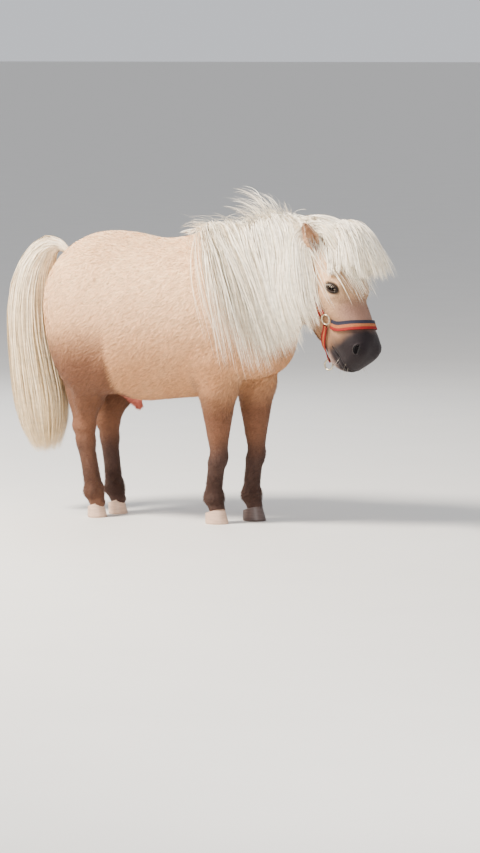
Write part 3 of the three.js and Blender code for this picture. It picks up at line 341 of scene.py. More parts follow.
def grid_values(distance, axes):
    """Distances on a grid, worked out in full only near the surface."""
    coarse_axes = [axis[::COARSE] for axis in axes]
    coarse = distance(np.stack(np.meshgrid(*coarse_axes, indexing="ij"), axis=-1))
    picks = [
        np.minimum((np.arange(len(axis)) + COARSE // 2) // COARSE, len(coarse_axis) - 1)
        for axis, coarse_axis in zip(axes, coarse_axes)
    ]
    values = coarse[np.ix_(*picks)]
    near = np.abs(values) < FINE_REACH
    values[near] = distance(np.stack([axis[index] for axis, index in zip(axes, np.nonzero(near))], axis=-1))
    return values


def surface_net(values, axes):
    """A closed quad mesh round the cells where the distance changes sign."""
    inside = values < 0
    shape = [n - 1 for n in values.shape]
    total = np.zeros((*shape, 3))
    count = np.zeros(shape)
    corners = [(i, j, k) for i in (0, 1) for j in (0, 1) for k in (0, 1)]

    def corner(array, c):
        return array[tuple(slice(o, o + n) for o, n in zip(c, shape))]

    for a in corners:
        for axis in range(3):
            if a[axis]:
                continue
            b = tuple(o + (i == axis) for i, o in enumerate(a))
            va, vb = corner(values, a), corner(values, b)
            crossed = (va < 0) != (vb < 0)
            share = np.where(crossed, va / np.where(crossed, va - vb, 1), 0)
            for i in range(3):
                place = a[i] + (share if i == axis else 0)
                total[..., i] += np.where(crossed, place, 0)
            count += crossed
    cells = np.nonzero(count)
    index = np.full(shape, -1)
    index[cells] = np.arange(len(cells[0]))
    spacing = np.array([axis[1] - axis[0] for axis in axes])
    low = np.array([axis[0] for axis in axes])
    vertices = low + (np.stack(cells, axis=-1) + total[cells] / count[cells][:, None]) * spacing
    quads = []
    for axis in range(3):
        others = [i for i in range(3) if i != axis]
        low_side = inside.take(range(shape[axis]), axis=axis)
        high_side = inside.take(range(1, shape[axis] + 1), axis=axis)
        places = np.array(np.nonzero(low_side != high_side))
        keep = np.all([(places[o] > 0) & (places[o] < shape[o]) for o in others], axis=0)
        places = places[:, keep]
        ring = []
        for da, db in ((0, 0), (1, 0), (1, 1), (0, 1)):
            cell = places.copy()
            cell[others[0]] -= da
            cell[others[1]] -= db
            ring.append(index[tuple(cell)])
        ring = np.stack(ring, axis=-1)
        flip = low_side[tuple(places)] == (axis == 1)
        ring[flip] = ring[flip][:, ::-1]
        quads.append(ring)
    return vertices, np.concatenate(quads)


def flesh_distance(points):
    """The body with its sheath, for the skin."""
    return blend_min(body_distance(points), group_distance(sheath_forms, 14, points), 10)


def coat_depth(points):
    """How far the skin lies inside the flesh solids: little on the muzzle and lower legs."""
    along = to_head(points)[..., 0]
    muzzle = smooth_step(200, 300, along) * (points[..., 0] > 450)
    feet = smooth_step(260, 120, points[..., 2])
    return COAT_DEPTH * (1 - 0.7 * np.maximum(muzzle, feet * 0.6))


def skin_distance(points):
    return flesh_distance(points) + coat_depth(points)


def mesh_object(name, vertices, faces):
    """A mesh object from arrays of drawing points and of faces of one size."""
    data = bpy.data.meshes.new(name)
    faces = np.asarray(faces)
    sides = faces.shape[1]
    data.vertices.add(len(vertices))
    write_points(data, vertices)
    data.loops.add(faces.size)
    data.loops.foreach_set("vertex_index", faces.astype(np.int32).ravel())
    data.polygons.add(len(faces))
    data.polygons.foreach_set("loop_start", np.arange(0, faces.size, sides, dtype=np.int32))
    data.polygons.foreach_set("loop_total", np.full(len(faces), sides, dtype=np.int32))
    data.update(calc_edges=True)
    data.validate()
    return linked_object(name, data)


def linked_object(name, data):
    """Puts a smooth mesh in the scene."""
    data.polygons.foreach_set("use_smooth", np.full(len(data.polygons), True))
    made = bpy.data.objects.new(name, data)
    bpy.context.collection.objects.link(made)
    return made


def read_array(items, field, width, kind=np.float32):
    """A field of every item of a Blender collection, as rows."""
    flat = np.empty(len(items) * width, dtype=kind)
    items.foreach_get(field, flat)
    return flat.reshape(-1, width)


def drawing_points(mesh):
    """The vertices of a Blender mesh back in drawing millimetres."""
    points = read_array(mesh.vertices, "co", 3).astype(float)
    points[:, 0] -= ORIGIN_X
    return points * 1000


def write_points(mesh, points):
    mesh.vertices.foreach_set("co", to_frame(points).astype(np.float32).ravel())


axes = [np.arange(low, high + SKIN_STEP, SKIN_STEP) for low, high in zip(NET_LOW, NET_HIGH)]
net_vertices, net_quads = surface_net(grid_values(skin_distance, axes), axes)
skin = mesh_object("skin", settle(skin_distance, net_vertices, 0, 2), net_quads)


def refine(target, chosen):
    """Halves the faces whose vertices are chosen, then settles them on the skin again."""
    shape = bmesh.new()
    shape.from_mesh(target.data)
    shape.verts.ensure_lookup_table()
    picked = chosen(drawing_points(target.data))
    edges = [edge for edge in shape.edges if picked[edge.verts[0].index] and picked[edge.verts[1].index]]
    bmesh.ops.subdivide_edges(shape, edges=edges, cuts=1, use_grid_fill=True)
    shape.to_mesh(target.data)
    shape.free()
    moved = drawing_points(target.data)
    near = np.nonzero(chosen(moved))[0]
    moved[near] = settle(skin_distance, moved[near], 0, 2)
    write_points(target.data, moved)
    target.data.update()


# The face: where the eyes, nostrils and mouth are, in the head's frame
def head_surface(x, y, z):
    """The point of the head's surface under a place in its frame, and the way out there."""
    point = settle(body_distance, from_head([[x, y, z]]), 0, 12)
    return point[0], unit(slope_of(body_distance, point))[0]


EYE_LONG = head_turned((0.82, 0, 0.57))
EYE_OPEN_LENGTH = 32
EYE_OPEN_HEIGHT = 18
UPPER_LID = 0.84
LOWER_LID = 0.88
eyes = {}
for side_name, side in SIDES.items():
    place, out = head_surface(EYE_ALONG, (EYE_ACROSS + 10) * side, EYE_UP)
    long_axis = unit(EYE_LONG - out * (EYE_LONG @ out))
    upward = np.cross(out, long_axis)
    if upward @ head_turned((-0.57, 0, 0.82)) < 0:
        upward = -upward
    eyes[side_name] = {
        "place": place,
        "out": out,
        "long": long_axis,
        "up": upward,
        "centre": place - out * (EYE_RADIUS + 1.8),
    }
eye_places = [eye["place"] for eye in eyes.values()]
nostrils = [head_surface(MUZZLE_END - 34, 56 * side, -6) for side in SIDES.values()]
nostril_places = [place for place, _ in nostrils]
MOUTH_BACK = MUZZLE_END - 92
LIP_LINE_BACK = MUZZLE_END - 86
MOUTH_CORNER = MUZZLE_END - 82
MOUTH_LENGTH = 102
MOUTH_HEIGHTS = (-88, -144, -82)


def on_head(points):
    return (to_head(points)[:, 0] > -30) & (points[:, 0] > 470)


def mouth_height(along):
    """Height of the line between the lips, along the head."""
    share = np.clip((along - MOUTH_CORNER) / MOUTH_LENGTH, 0, 1)
    back, middle, front = MOUTH_HEIGHTS
    return back * (1 - share) ** 2 + middle * share * (1 - share) + front * share**2


def by_mouth(points, reach):
    local = to_head(points)
    return (local[:, 0] > MOUTH_BACK) & (np.abs(local[:, 2] - mouth_height(local[:, 0])) < reach)


# Rounds of refinement, with their reach round the eyes, nostrils and mouth
REFINE_ROUNDS = ((44, 34, 17), (25, 19, 7.5), (21, 0, 0))


def on_features(points, eye_reach, nostril_reach, mouth_reach):
    at_eye = nearest(points, eye_places) < eye_reach
    at_nostril = nearest(points, nostril_places) < nostril_reach
    return at_eye | at_nostril | (on_head(points) & by_mouth(points, mouth_reach))


refine(skin, on_head)
for reaches in REFINE_ROUNDS:
    refine(skin, lambda points: on_features(points, *reaches))

# Ridges and folds of the face: height, distance from the edge of the opening, and spread
LID_RIM = (2.6, 2.2, 1.9)
LID_FOLD = (-1.7, 6.4, 1.6)
BROW_RIDGE = (2.4, 11.5, 4.2)
EYE_BAG = (1.2, 9.5, 3.0)
NOSTRIL_WING = (3.2, 1.32, 0.27)
LIP_GROOVE = (-4.6, 0, 1.7)
UPPER_LIP = (1.7, 6, 4)
LOWER_LIP = (1.9, -6.5, 4)
EYE_DEPTH = 15
NOSTRIL_DEPTH = 13
NOSTRIL_HALF_LENGTH = 13.5
NOSTRIL_HALF_WIDTH = 7.2
NOSTRIL_BEND = 0.018


def ridge(value, height, middle, spread):
    return height * np.exp(-(((value - middle) / spread) ** 2))


def carve_eye(points, eye):
    """How far the lids, folds and opening of an eye move the skin."""
    offset = points - eye["place"]
    u = offset @ eye["long"] / (EYE_OPEN_LENGTH / 2)
    v = offset @ eye["up"]
    lid = EYE_OPEN_HEIGHT / 2 * np.where(v > 0, UPPER_LID, LOWER_LID)
    across = np.abs(v) / lid + u * u
    gap = (np.sqrt(np.maximum(across, 0)) - 1) * 11
    open_share = smooth_step(0.9, -1.1, gap)
    upper = smooth_step(-4, 4, v)
    fold = ridge(gap, *LID_FOLD) * (0.35 + 0.65 * upper)
    brow = ridge(gap, *BROW_RIDGE) * upper
    bag = ridge(gap, *EYE_BAG) * (1 - upper)
    return (ridge(gap, *LID_RIM) + fold + brow + bag) * (1 - open_share) - EYE_DEPTH * open_share


def carve_nostril(points, place, out):
    """How far the pit and wing of a nostril move the skin."""
    offset = points - place
    slant = unit(head_turned((0.75, 0.2 * np.sign(to_head(place[None])[0, 1]), -0.6)))
    slant = unit(slant - out * (slant @ out))
    u, v = offset @ slant, offset @ np.cross(out, slant)
    bend = v - NOSTRIL_BEND * u * u + 1.5
    ring = np.sqrt((u / NOSTRIL_HALF_LENGTH) ** 2 + (bend / NOSTRIL_HALF_WIDTH) ** 2)
    pit = smooth_step(1.05, 0.55, ring)
    return ridge(ring, *NOSTRIL_WING) * (1 - pit) - NOSTRIL_DEPTH * pit


def carve_face(points):
    """Lids and folds round the eyes, pits of the nostrils, and the mouth with its lips."""
    out_of_skin = unit(slope_of(skin_distance, points))
    moved = points.copy()
    for eye in eyes.values():
        near = nearest(points, [eye["place"]]) < 42
        moved[near] += (eye["out"] * carve_eye(points, eye)[:, None])[near]
    for place, out in nostrils:
        near = nearest(points, [place]) < 34
        moved[near] += (out * carve_nostril(points, place, out)[:, None])[near]
    local = to_head(points)
    lips = (local[:, 0] > MOUTH_BACK) & on_head(points)
    gap = local[:, 2] - mouth_height(local[:, 0])
    corner = smooth_step(MUZZLE_END - 90, MUZZLE_END - 72, local[:, 0])
    groove = ridge(gap, *LIP_GROOVE) * corner
    fullness = (ridge(gap, *UPPER_LIP) + ridge(gap, *LOWER_LIP)) * corner
    moved[lips] += (out_of_skin * (groove + fullness)[:, None])[lips]
    return moved


all_points = drawing_points(skin.data)
on_face = np.nonzero(on_head(all_points))[0]
all_points[on_face] = carve_face(all_points[on_face])
write_points(skin.data, all_points)
skin.data.update()

# Ears: a cupped leaf of flesh, with its outer side, its hollow and a rounded rim
EAR_WIDTH = 46
EAR_DEPTH = 34
EAR_ROOT = 13
EAR_FLESH = 2.6
EAR_BEND = 9
EAR_HOLLOW = 2.4
EAR_CURL = 0.12
EAR_WRAP = math.radians(128)
EAR_ROWS = 34
EAR_COLUMNS = 26
EAR_AXES = {
    "left": {"along": (0.26, 0.3, 1), "front": (0.85, 0.35, -0.3)},
    "right": {"along": (-0.24, -0.45, 0.86), "front": (0.55, -0.83, 0)},
}


def ear_frame(side_name):
    """The base of an ear and its axes: along it, out of its hollow, and across."""
    base, _ = head_surface(14, 66 * SIDES[side_name], -2)
    along = unit(np.array(EAR_AXES[side_name]["along"], dtype=float))
    front = np.array(EAR_AXES[side_name]["front"], dtype=float)
    front = unit(front - along * (front @ along))
    return base, along, front, np.cross(along, front)


ear_frames = {side_name: ear_frame(side_name) for side_name in EAR_AXES}


def ear_profile(share):
    """Width of the ear from its base to its tip, as a share of its greatest."""
    swell = 0.62 + 0.4 * np.sin(math.pi * np.minimum(share / 0.8, 1) * 0.85)
    return swell * np.sqrt(np.maximum(1 - share**3.2, 0.0025))


def tube_quads(rows, size):
    """Quads between rows of points, each row a closed ring of one size."""
    row, ring = np.meshgrid(np.arange(rows - 1), np.arange(size), indexing="ij")
    a = row * size + ring
    b = row * size + (ring + 1) % size
    return np.stack([a, b, b + size, a + size], axis=-1).reshape(-1, 4)


def halved(quads):
    return np.concatenate([quads[:, [0, 1, 2]], quads[:, [0, 2, 3]]])


def ear_shell(side_name):
    """Vertices and quads of one ear; the hollow faces the front."""
    base, along, front, across = ear_frames[side_name]
    angles = np.linspace(-1, 1, EAR_COLUMNS) * EAR_WRAP
    sides = []
    for inner, sweep in ((0, angles), (1, angles[::-1])):
        curl = 1 - EAR_CURL * np.abs(sweep / angles[-1]) ** 4
        rows = []
        for share in np.linspace(0, 1, EAR_ROWS) ** 0.9:
            width = EAR_WIDTH / 2 * ear_profile(share) - inner * EAR_FLESH
            depth = EAR_DEPTH / 2 * ear_profile(share) - inner * EAR_FLESH
            rise = along * (share * (EAR_LENGTH + EAR_ROOT) - EAR_ROOT)
            middle = base + rise + front * EAR_BEND * share**2
            ring = middle + np.outer(np.sin(sweep) * width * curl, across)
            ring = ring - np.outer(np.cos(sweep) * depth, front)
            rows.append(ring + front * (inner * EAR_HOLLOW * (1 - share)))
        sides.append(rows)
    size = 2 * EAR_COLUMNS
    vertices = np.concatenate(np.array(sides), axis=1).reshape(-1, 3)
    top = (EAR_ROWS - 1) * size
    cap = [[top + i, top + i + 1, top + size - 2 - i, top + size - 1 - i] for i in range(EAR_COLUMNS - 1)]
    return vertices, np.concatenate([tube_quads(EAR_ROWS, size), np.array(cap)])


def add_shell(target, vertices, faces):
    """Adds loose geometry to a mesh, so that it is one object with it."""
    shape = bmesh.new()
    shape.from_mesh(target.data)
    made = [shape.verts.new(point) for point in to_frame(vertices)]
    for face in faces:
        corners = [made[i] for i in dict.fromkeys(face)]
        if len(corners) > 2:
            shape.faces.new(corners)
    shape.to_mesh(target.data)
    shape.free()


for side_name in SIDES:
    add_shell(skin, *ear_shell(side_name))

bpy.context.view_layer.objects.active = skin
skin.select_set(True)
bpy.ops.object.mode_set(mode="EDIT")
bpy.ops.mesh.select_all(action="SELECT")
bpy.ops.uv.smart_project(angle_limit=math.radians(62), island_margin=0.002)
bpy.ops.object.mode_set(mode="OBJECT")
skin.data.polygons.foreach_set("use_smooth", np.full(len(skin.data.polygons), True))

# The skin's triangles, to root the coat on and to look up its unwrap
skin.data.calc_loop_triangles()
triangles = skin.data.loop_triangles
triangle_vertices = read_array(triangles, "vertices", 3, np.int32)
triangle_loops = read_array(triangles, "loops", 3, np.int32)
loop_uv = read_array(skin.data.uv_layers.active.data, "uv", 2)
skin_points = drawing_points(skin.data)
corner_points = skin_points[triangle_vertices]
first, second, third = corner_points.swapaxes(0, 1)
face_normals = np.cross(second - first, third - first)
face_areas = np.linalg.norm(face_normals, axis=-1) / 2
face_normals = unit(face_normals)
vertex_normals = np.zeros_like(skin_points)
for corner in range(3):
    np.add.at(vertex_normals, triangle_vertices[:, corner], face_normals * face_areas[:, None])
vertex_normals = unit(vertex_normals)
skin_tree = KDTree(len(triangles))
for number, middle in enumerate(corner_points.mean(axis=1)):
    skin_tree.insert(middle, number)
skin_tree.balance()


# Colours, one function for the skin and everything that grows from it
def linear(*srgb):
    """A screen colour, 0 to 255, as linear light."""
    value = np.array(srgb, dtype=float) / 255
    return np.where(value <= 0.04045, value / 12.92, ((value + 0.055) / 1.055) ** 2.4)


CREAM = linear(243, 209, 171)
GOLD = linear(204, 153, 112)
BROWN = linear(133, 94, 72)
DARK = linear(82, 60, 52)
MUZZLE = linear(37, 28, 31)
MAUVE = linear(150, 118, 112)
PALE_SKIN = linear(206, 176, 162)
MANE_WHITE = linear(252, 244, 230)
# Yellow of the tail's tips: partly its own colour, partly painted shade on its lower part
TAIL_YELLOW = linear(240, 220, 186)
EAR_TAN = linear(206, 164, 134)
SHEATH_PINK = linear(196, 118, 104)

# Patches in the coat: size, seed and strength
PATCHES = ((130, 5, 0.5), (45, 8, 0.3))

# Where the coat's colours change: over X, height, or the head's own length and height
FORE_FADE = (60, 150)
HIND_FADE = (-130, -60)
# The fade to gold lower down the body is partly painted shade
GOLD_FADE = (800, 470)
# The legs' brown reaches these heights; it is partly painted shade
FORE_BROWN_TOP = 440
HIND_BROWN_TOP = 590
DARK_FADE = (300, 190)
SHEATH_FADE = (425, 385)
# Painted shade over the face, along the head
FACE_SHADE_FADE = (70, 260)
BRIDGE_FADE = (185, 240)
BRIDGE_SIDE_FADE = (-30, 25)
MUZZLE_FADE = (276, 330)
CHIN_FADE = (285, 330)
CHIN_LOW_FADE = (-98, -122)
LID_FADE = (1.95, 1.15)
# Painted shade in and round the nostril pits, and along the parting of the lips
NOSTRIL_SHADE_FADE = (19, 8)
LIP_SHADE_FADE = (3.4, 0.8)


def waver(points, size, seed):
    """Soft patchy noise between -1 and 1, the same for the same place."""
    turned = np.random.default_rng(seed).normal(size=(5, 3))
    phase = np.random.default_rng(seed + 1).uniform(0, 2 * math.pi, 5)
    total = np.zeros(points.shape[:-1])
    for direction, start in zip(turned, phase):
        total += np.sin(points @ direction * (2 * math.pi / size) * 0.6 + start)
    return total / 3


def fur_colour(points):
    """The coat's colour at places on the pony, in linear light."""
    x, y, z = points[..., 0], points[..., 1], points[..., 2]
    patch = sum(waver(points, size, seed) * strength for size, seed, strength in PATCHES)
    # Lower down the body the cream turns gold: partly the coat's own colour, partly painted shade under
    # light from above
    height = smooth_step(*GOLD_FADE, z + 40 * patch)
    colour = mix(np.broadcast_to(CREAM, points.shape), GOLD, height * 0.85 + 0.12 * patch)
    fore = smooth_step(*FORE_FADE, x)
    hind = 1 - smooth_step(*HIND_FADE, x)
    # The legs' brown is their own colour, partly deepened as painted shade, and reaches high up the hind
    # thighs
    limb_top = FORE_BROWN_TOP * fore + HIND_BROWN_TOP * hind * (1 - fore)
    leg = np.maximum(fore, hind) * smooth_step(limb_top + 60, limb_top - 110, z + 22 * patch)
    colour = mix(colour, BROWN, leg)
    # Lower legs turn dark; on the near hind leg the dark is thinned, so the far hind leg's darker lower
    # part is painted shade
    lower = np.maximum(fore, hind) * smooth_step(*DARK_FADE, z + 18 * patch)
    near_hind_unshaded = np.where(hind > fore, 0.5 + 0.3 * patch, 0.0) * (y < 0)
    colour = mix(colour, DARK, lower * (1 - near_hind_unshaded))
    hanging = smooth_step(*SHEATH_FADE, z) * (np.abs(y) < 40) * (x > -190) * (x < -80)
    colour = mix(colour, SHEATH_PINK, hanging)
    return head_colour(points, colour, patch)


def head_colour(points, colour, patch):
    """The face's colours over the coat's: a brown painted shade over the face, bridge, muzzle, lids,
    painted shade in the nostrils and along the parting of the lips, and ears.
    """
    local = to_head(points)
    along, brow = local[..., 0], local[..., 2]
    on_it = (points[..., 0] > 440) & (along > -60)
    face_shade = smooth_step(*FACE_SHADE_FADE, along + 14 * patch)
    bridge = smooth_step(*BRIDGE_FADE, along) * smooth_step(*BRIDGE_SIDE_FADE, brow + 8 * patch)
    muzzle = smooth_step(*MUZZLE_FADE, along + 10 * patch)
    chin = smooth_step(*CHIN_LOW_FADE, brow) * smooth_step(*CHIN_FADE, along)
    nostril = smooth_step(*NOSTRIL_SHADE_FADE, nearest(points, nostril_places))
    lips = smooth_step(*LIP_SHADE_FADE, np.abs(brow - mouth_height(along)))
    layers = (
        # Painted shade: the face darkened towards brown beyond the eyes
        (BROWN * 1.05, face_shade, 0.66),
        (MAUVE, bridge, 0.6),
        (MUZZLE, muzzle, 1),
        (PALE_SKIN, chin, 0.55),
        (MUZZLE * 0.4, smooth_step(*LID_FADE, lid_reach(points)), 0.96),
        # Near black painted shade in the nostril pits and along the parting of the lips
        (MUZZLE * 0.35, nostril, 1),
        (MUZZLE * 0.3, np.where(along > LIP_LINE_BACK, lips, 0), 1),
    )
    for tint, share, strength in layers:
        colour = mix(colour, tint, np.where(on_it, share, 0) * strength)
    ear = np.min([ear_hollow(points, name) for name in SIDES], axis=0)
    return mix(colour, EAR_TAN, smooth_step(2, -4, ear))


LID_OVAL = {"long": 17.5, "up": 11.5, "out": 30}


def lid_reach(points):
    """One on an oval round the nearer eye, a little wider than its opening, less inside it."""
    reach = []
    for eye in eyes.values():
        offset = points - eye["place"]
        reach.append(np.sqrt(sum((offset @ eye[axis] / half) ** 2 for axis, half in LID_OVAL.items())))
    return np.min(reach, axis=0)


def ear_hollow(points, side_name):
    """Below nought for places in the hollow of an ear."""
    base, along, front, across = ear_frames[side_name]
    offset = points - base
    share = offset @ along / EAR_LENGTH
    depth = EAR_DEPTH / 2 - EAR_FLESH
    aside = np.abs(offset @ across) - EAR_WIDTH / 2 + 5
    behind = -(offset @ front - EAR_BEND * np.clip(share, 0, 1) ** 2 + depth - 1.0)
    outside = np.where((share > -0.1) & (share < 1.05), -50, 50)
    return np.maximum(np.maximum(aside, behind), outside)


def write_colour(target, colours):
    """Keeps a linear colour for every vertex."""
    layer = target.data.color_attributes.new("fur_colour", "FLOAT_COLOR", "POINT")
    flat = np.concatenate([np.clip(colours, 0, 1), np.ones((len(colours), 1))], axis=1)
    layer.data.foreach_set("color", flat.astype(np.float32).ravel())


write_colour(skin, fur_colour(skin_points))


# Hair: every tuft and strand is a tapered ribbon rooted on the skin
PATCH = 0.0015


def uv_near(points):
    """The skin's own unwrap under places near it."""
    found = np.array([skin_tree.find(point)[1] for point in points])
    return loop_uv[triangle_loops[found]].mean(axis=1)


def ribbon_object(name, paths, widths, sideways, colours, roots_uv):
    """Joins strands into one mesh, from rings of two points and a tip, with a patch of unwrap each."""
    strands, rings = paths.shape[:2]
    half = sideways * widths[..., None] / 2
    left, right = paths - half, paths + half
    body = np.stack([left[:, :-1], right[:, :-1]], axis=2).reshape(strands, -1, 3)
    vertices = np.concatenate([body, paths[:, -1:]], axis=1)
    each = vertices.shape[1]
    triangles = []
    for ring in range(rings - 2):
        a = 2 * ring
        triangles += [(a, a + 1, a + 3), (a, a + 3, a + 2)]
    a = 2 * (rings - 2)
    triangles.append((a, a + 1, a + 2))
    faces = np.arange(strands)[:, None, None] * each + np.array(triangles)
    made = mesh_object(name, vertices.reshape(-1, 3), faces.reshape(-1, 3))
    rows = np.linspace(-1, 1, rings)
    spread = np.stack([np.repeat(rows[:-1], 2), np.tile([-1, 1], rings - 1)], axis=-1)
    spread = np.concatenate([spread, [[1, 0]]]) * PATCH
    places = roots_uv[:, None] + spread
    layer = made.data.uv_layers.new(name="OFBake")
    layer.data.foreach_set("uv", places.reshape(-1, 2)[faces.ravel()].astype(np.float32).ravel())
    shades = np.repeat(colours, 2, axis=1)[:, : 2 * (rings - 1)]
    shades = np.concatenate([shades, colours[:, -1:]], axis=1)
    write_colour(made, shades.reshape(-1, 3))
    return made


# The way the coat lies, as headings, before it is laid along the skin
TRUNK_LIE = (-0.75, 0, -0.66)
LEG_LIE = (-0.12, 0, -1.0)
CHEST_LIE = (0.1, 0, -1.0)
RUMP_LIE = (-0.2, 0, -1.0)
FACE_LIE = (0.8, 0, -0.25)
CHEEK_LIE = (0, 0.35, 0)
LEG_FADE = (560, 430)
CHEST_FADE = (300, 400)
RUMP_FADE = (-260, -380)

# Lengths of the fur in millimetres, and tufts for each square millimetre
TRUNK_FUR = 15.0
BELLY_FUR = 5
LEG_FUR = 8.5
FETLOCK_FUR = 9
FACE_FUR = 7.5
JAW_FUR = 10
TRUNK_DENSITY = 0.075
HEAD_DENSITY = 0.16
LEG_DENSITY = 0.09
TUFT_RINGS = 3
EAR_TUFT_RINGS = 4
TUFT_SHADE = 0.12
TUFT_SCATTER = 0.16
TUFT_DRIFT = 0.22
DRIFT_SIZE = 55
DRIFT_SEEDS = (31, 37, 41)
TUFT_ROOT_DEPTH = 1.2
TUFT_ROLL = 0.7
TUFT_TAPER = 0.45
TUFT_ROOT_TONE = 0.86
TUFT_TIP_GAIN = 0.2
STRAND_ROLL = 0.8
STRAND_TAPER = 0.85
STRAND_SHADE = 0.045
STRAND_WARMTH = np.array([0.02, 0.07, 0.17])


def coat_lie(points):
    """The way the coat lies at places on the skin."""
    x, z = points[..., 0], points[..., 2]
    local = to_head(points)
    leg = smooth_step(*LEG_FADE, z) * (local[..., 0] < -20)
    chest = smooth_step(*CHEST_FADE, x) * (z < 720)
    rump = smooth_step(*RUMP_FADE, x)
    head = smooth_step(-10, 40, local[..., 0]) * (x > 450)
    face = head_turned(FACE_LIE) + np.sign(local[..., 1])[..., None] * head_turned(CHEEK_LIE)
    lie = np.broadcast_to(TRUNK_LIE, points.shape)
    body = ((LEG_LIE, leg), (CHEST_LIE, chest * (1 - leg)), (RUMP_LIE, rump * (1 - leg)))
    for way, share in (*body, (face, head)):
        lie = mix(lie, np.asarray(way), share)
    return lie


def head_share(points):
    return smooth_step(-20, 60, to_head(points)[..., 0]) * (points[..., 0] > 450)


def leg_share(points):
    return smooth_step(400, 300, points[..., 2])


def coat_length(points):
    """Length of the fur: short on face and legs, shortest round the eyes, long under belly and jaw."""
    x, z = points[..., 0], points[..., 2]
    local = to_head(points)
    head, leg = head_share(points), leg_share(points)
    length = TRUNK_FUR + BELLY_FUR * smooth_step(480, 400, z) * (np.abs(x) < 260)
    length = length * (1 - leg) + LEG_FUR * leg
    length = length + FETLOCK_FUR * (smooth_step(175, 120, z) * smooth_step(60, 84, z))
    length = length * (1 - head) + FACE_FUR * head
    length = length + JAW_FUR * (head * smooth_step(-70, -120, local[..., 2]) * (local[..., 0] < 260))
    length = length * (1 - 0.62 * (head * smooth_step(230, 300, local[..., 0])))
    return length * (0.35 + 0.65 * smooth_step(17, 34, nearest(points, eye_places)))


def fur_grows(points):
    """False in the eyes, nostrils and mouth, and under the hooves."""
    local = to_head(points)
    lips = np.abs(local[..., 2] - mouth_height(local[..., 0]))
    at_mouth = (local[..., 0] > LIP_LINE_BACK) & (lips < 4)
    open_skin = (lid_reach(points) > 1.2) & (nearest(points, nostril_places) > 13)
    return open_skin & ~at_mouth & (points[..., 2] > 46)


def scatter():
    """Root places over the whole skin: points, normals, unwrap places."""
    middles = corner_points.mean(axis=1)
    density = TRUNK_DENSITY + HEAD_DENSITY * head_share(middles) + LEG_DENSITY * leg_share(middles)
    number = np.floor(face_areas * density + rng.random(len(triangles))).astype(int)
    chosen = np.repeat(np.arange(len(triangles)), number)
    u, v = rng.random((2, len(chosen)))
    over = u + v > 1
    u[over], v[over] = 1 - u[over], 1 - v[over]
    weights = stacked(1 - u - v, u, v)[..., None]
    points = (corner_points[chosen] * weights).sum(axis=1)
    normals = unit((vertex_normals[triangle_vertices[chosen]] * weights).sum(axis=1))
    places = (loop_uv[triangle_loops[chosen]] * weights).sum(axis=1)
    return points, normals, places


def grow_tufts(name, points, normals, places, lift, width):
    """Short fur: each tuft leaves the skin at a slope, then bends down along the lie."""
    count = len(points)
    drift = stacked(*(waver(points, DRIFT_SIZE, seed) for seed in DRIFT_SEEDS))
    lie = coat_lie(points) + rng.normal(0, TUFT_SCATTER, (count, 3)) + TUFT_DRIFT * drift
    lie = unit(lie - normals * (lie * normals).sum(-1, keepdims=True))
    lift = lift * rng.uniform(0.75, 1.3, count)
    length = coat_length(points) * rng.uniform(0.7, 1.25, count)
    shares = np.linspace(0, 1, TUFT_RINGS)
    rise = lift[:, None] * (shares * (1.45 - 0.72 * shares)) * length[:, None]
    run = length[:, None] * shares
    paths = points[:, None] + lie[:, None] * run[..., None] + normals[:, None] * rise[..., None]
    paths -= normals[:, None] * TUFT_ROOT_DEPTH * (1 - shares)[None, :, None]
    roll = rng.uniform(-TUFT_ROLL, TUFT_ROLL, count)[:, None]
    side = unit(np.cross(lie, normals) * np.cos(roll) + normals * np.sin(roll))
    widths = width * rng.uniform(0.7, 1.3, count)[:, None] * (1 - TUFT_TAPER * shares)[None]
    tone = 1 + rng.normal(0, TUFT_SHADE, count)[:, None] + 0.05 * waver(points, 22, 12)[:, None]
    paling = (TUFT_ROOT_TONE + TUFT_TIP_GAIN * shares)[None, :, None]
    colours = fur_colour(points)[:, None] * tone[:, None] * paling
    return ribbon_object(name, paths, widths, side[:, None], colours, places)


# Long hair: strands fall from their roots, held off the flesh by their layer's height
ear_limbs = []
for base, along, front, _ in ear_frames.values():
    ear_tip = base + along * (EAR_LENGTH - 12) + front * 6
    ear_limbs.append(limb(base - along * 10, 20, ear_tip, 10)[0])


def hair_distance(points):
    """Distance to the flesh and the ears, which hair stays clear of."""
    ears = np.min([measure(points) for measure in ear_limbs], axis=0)
    return np.minimum(body_distance(points), ears + 6)


def fall(roots, headings, lengths, pull, clearance, rings, stiffness):
    """Paths of strands: they start along a heading, sink towards the pull and stay clear of the flesh."""
    paths = [roots]
    heading = unit(headings)
    place = roots.copy()
    step = (lengths / (rings - 1))[:, None]
    for ring in range(1, rings):
        heading = unit(heading * stiffness + unit(pull) * (1 - stiffness))
        place = place + heading * step
        rise = clearance * min(1.0, ring / 2)
        gap = hair_distance(place)
        low = gap < rise
        if low.any():
            slope = slope_of(hair_distance, place[low])
            push = (rise - gap)[low][:, None] * slope / np.maximum((slope**2).sum(-1, keepdims=True), 0.3)
            place[low] += push
            heading = unit(place - paths[-1])
        paths.append(place.copy())
    return np.stack(paths, axis=1)


def clear_of_ears(paths):
    """Only the strands that don't hang in front of an ear's hollow."""
    keep = np.ones(len(paths), dtype=bool)
    for base, along, front, across in ear_frames.values():
        offset = paths[:, 1:] - base
        share, ahead = offset @ along / EAR_LENGTH, offset @ front
        level = (share > 0.16) & (share < 1.1) & (np.abs(offset @ across) < 31)
        keep &= ~(level & (ahead > -12) & (ahead < 90)).any(axis=1)
    return paths[keep]


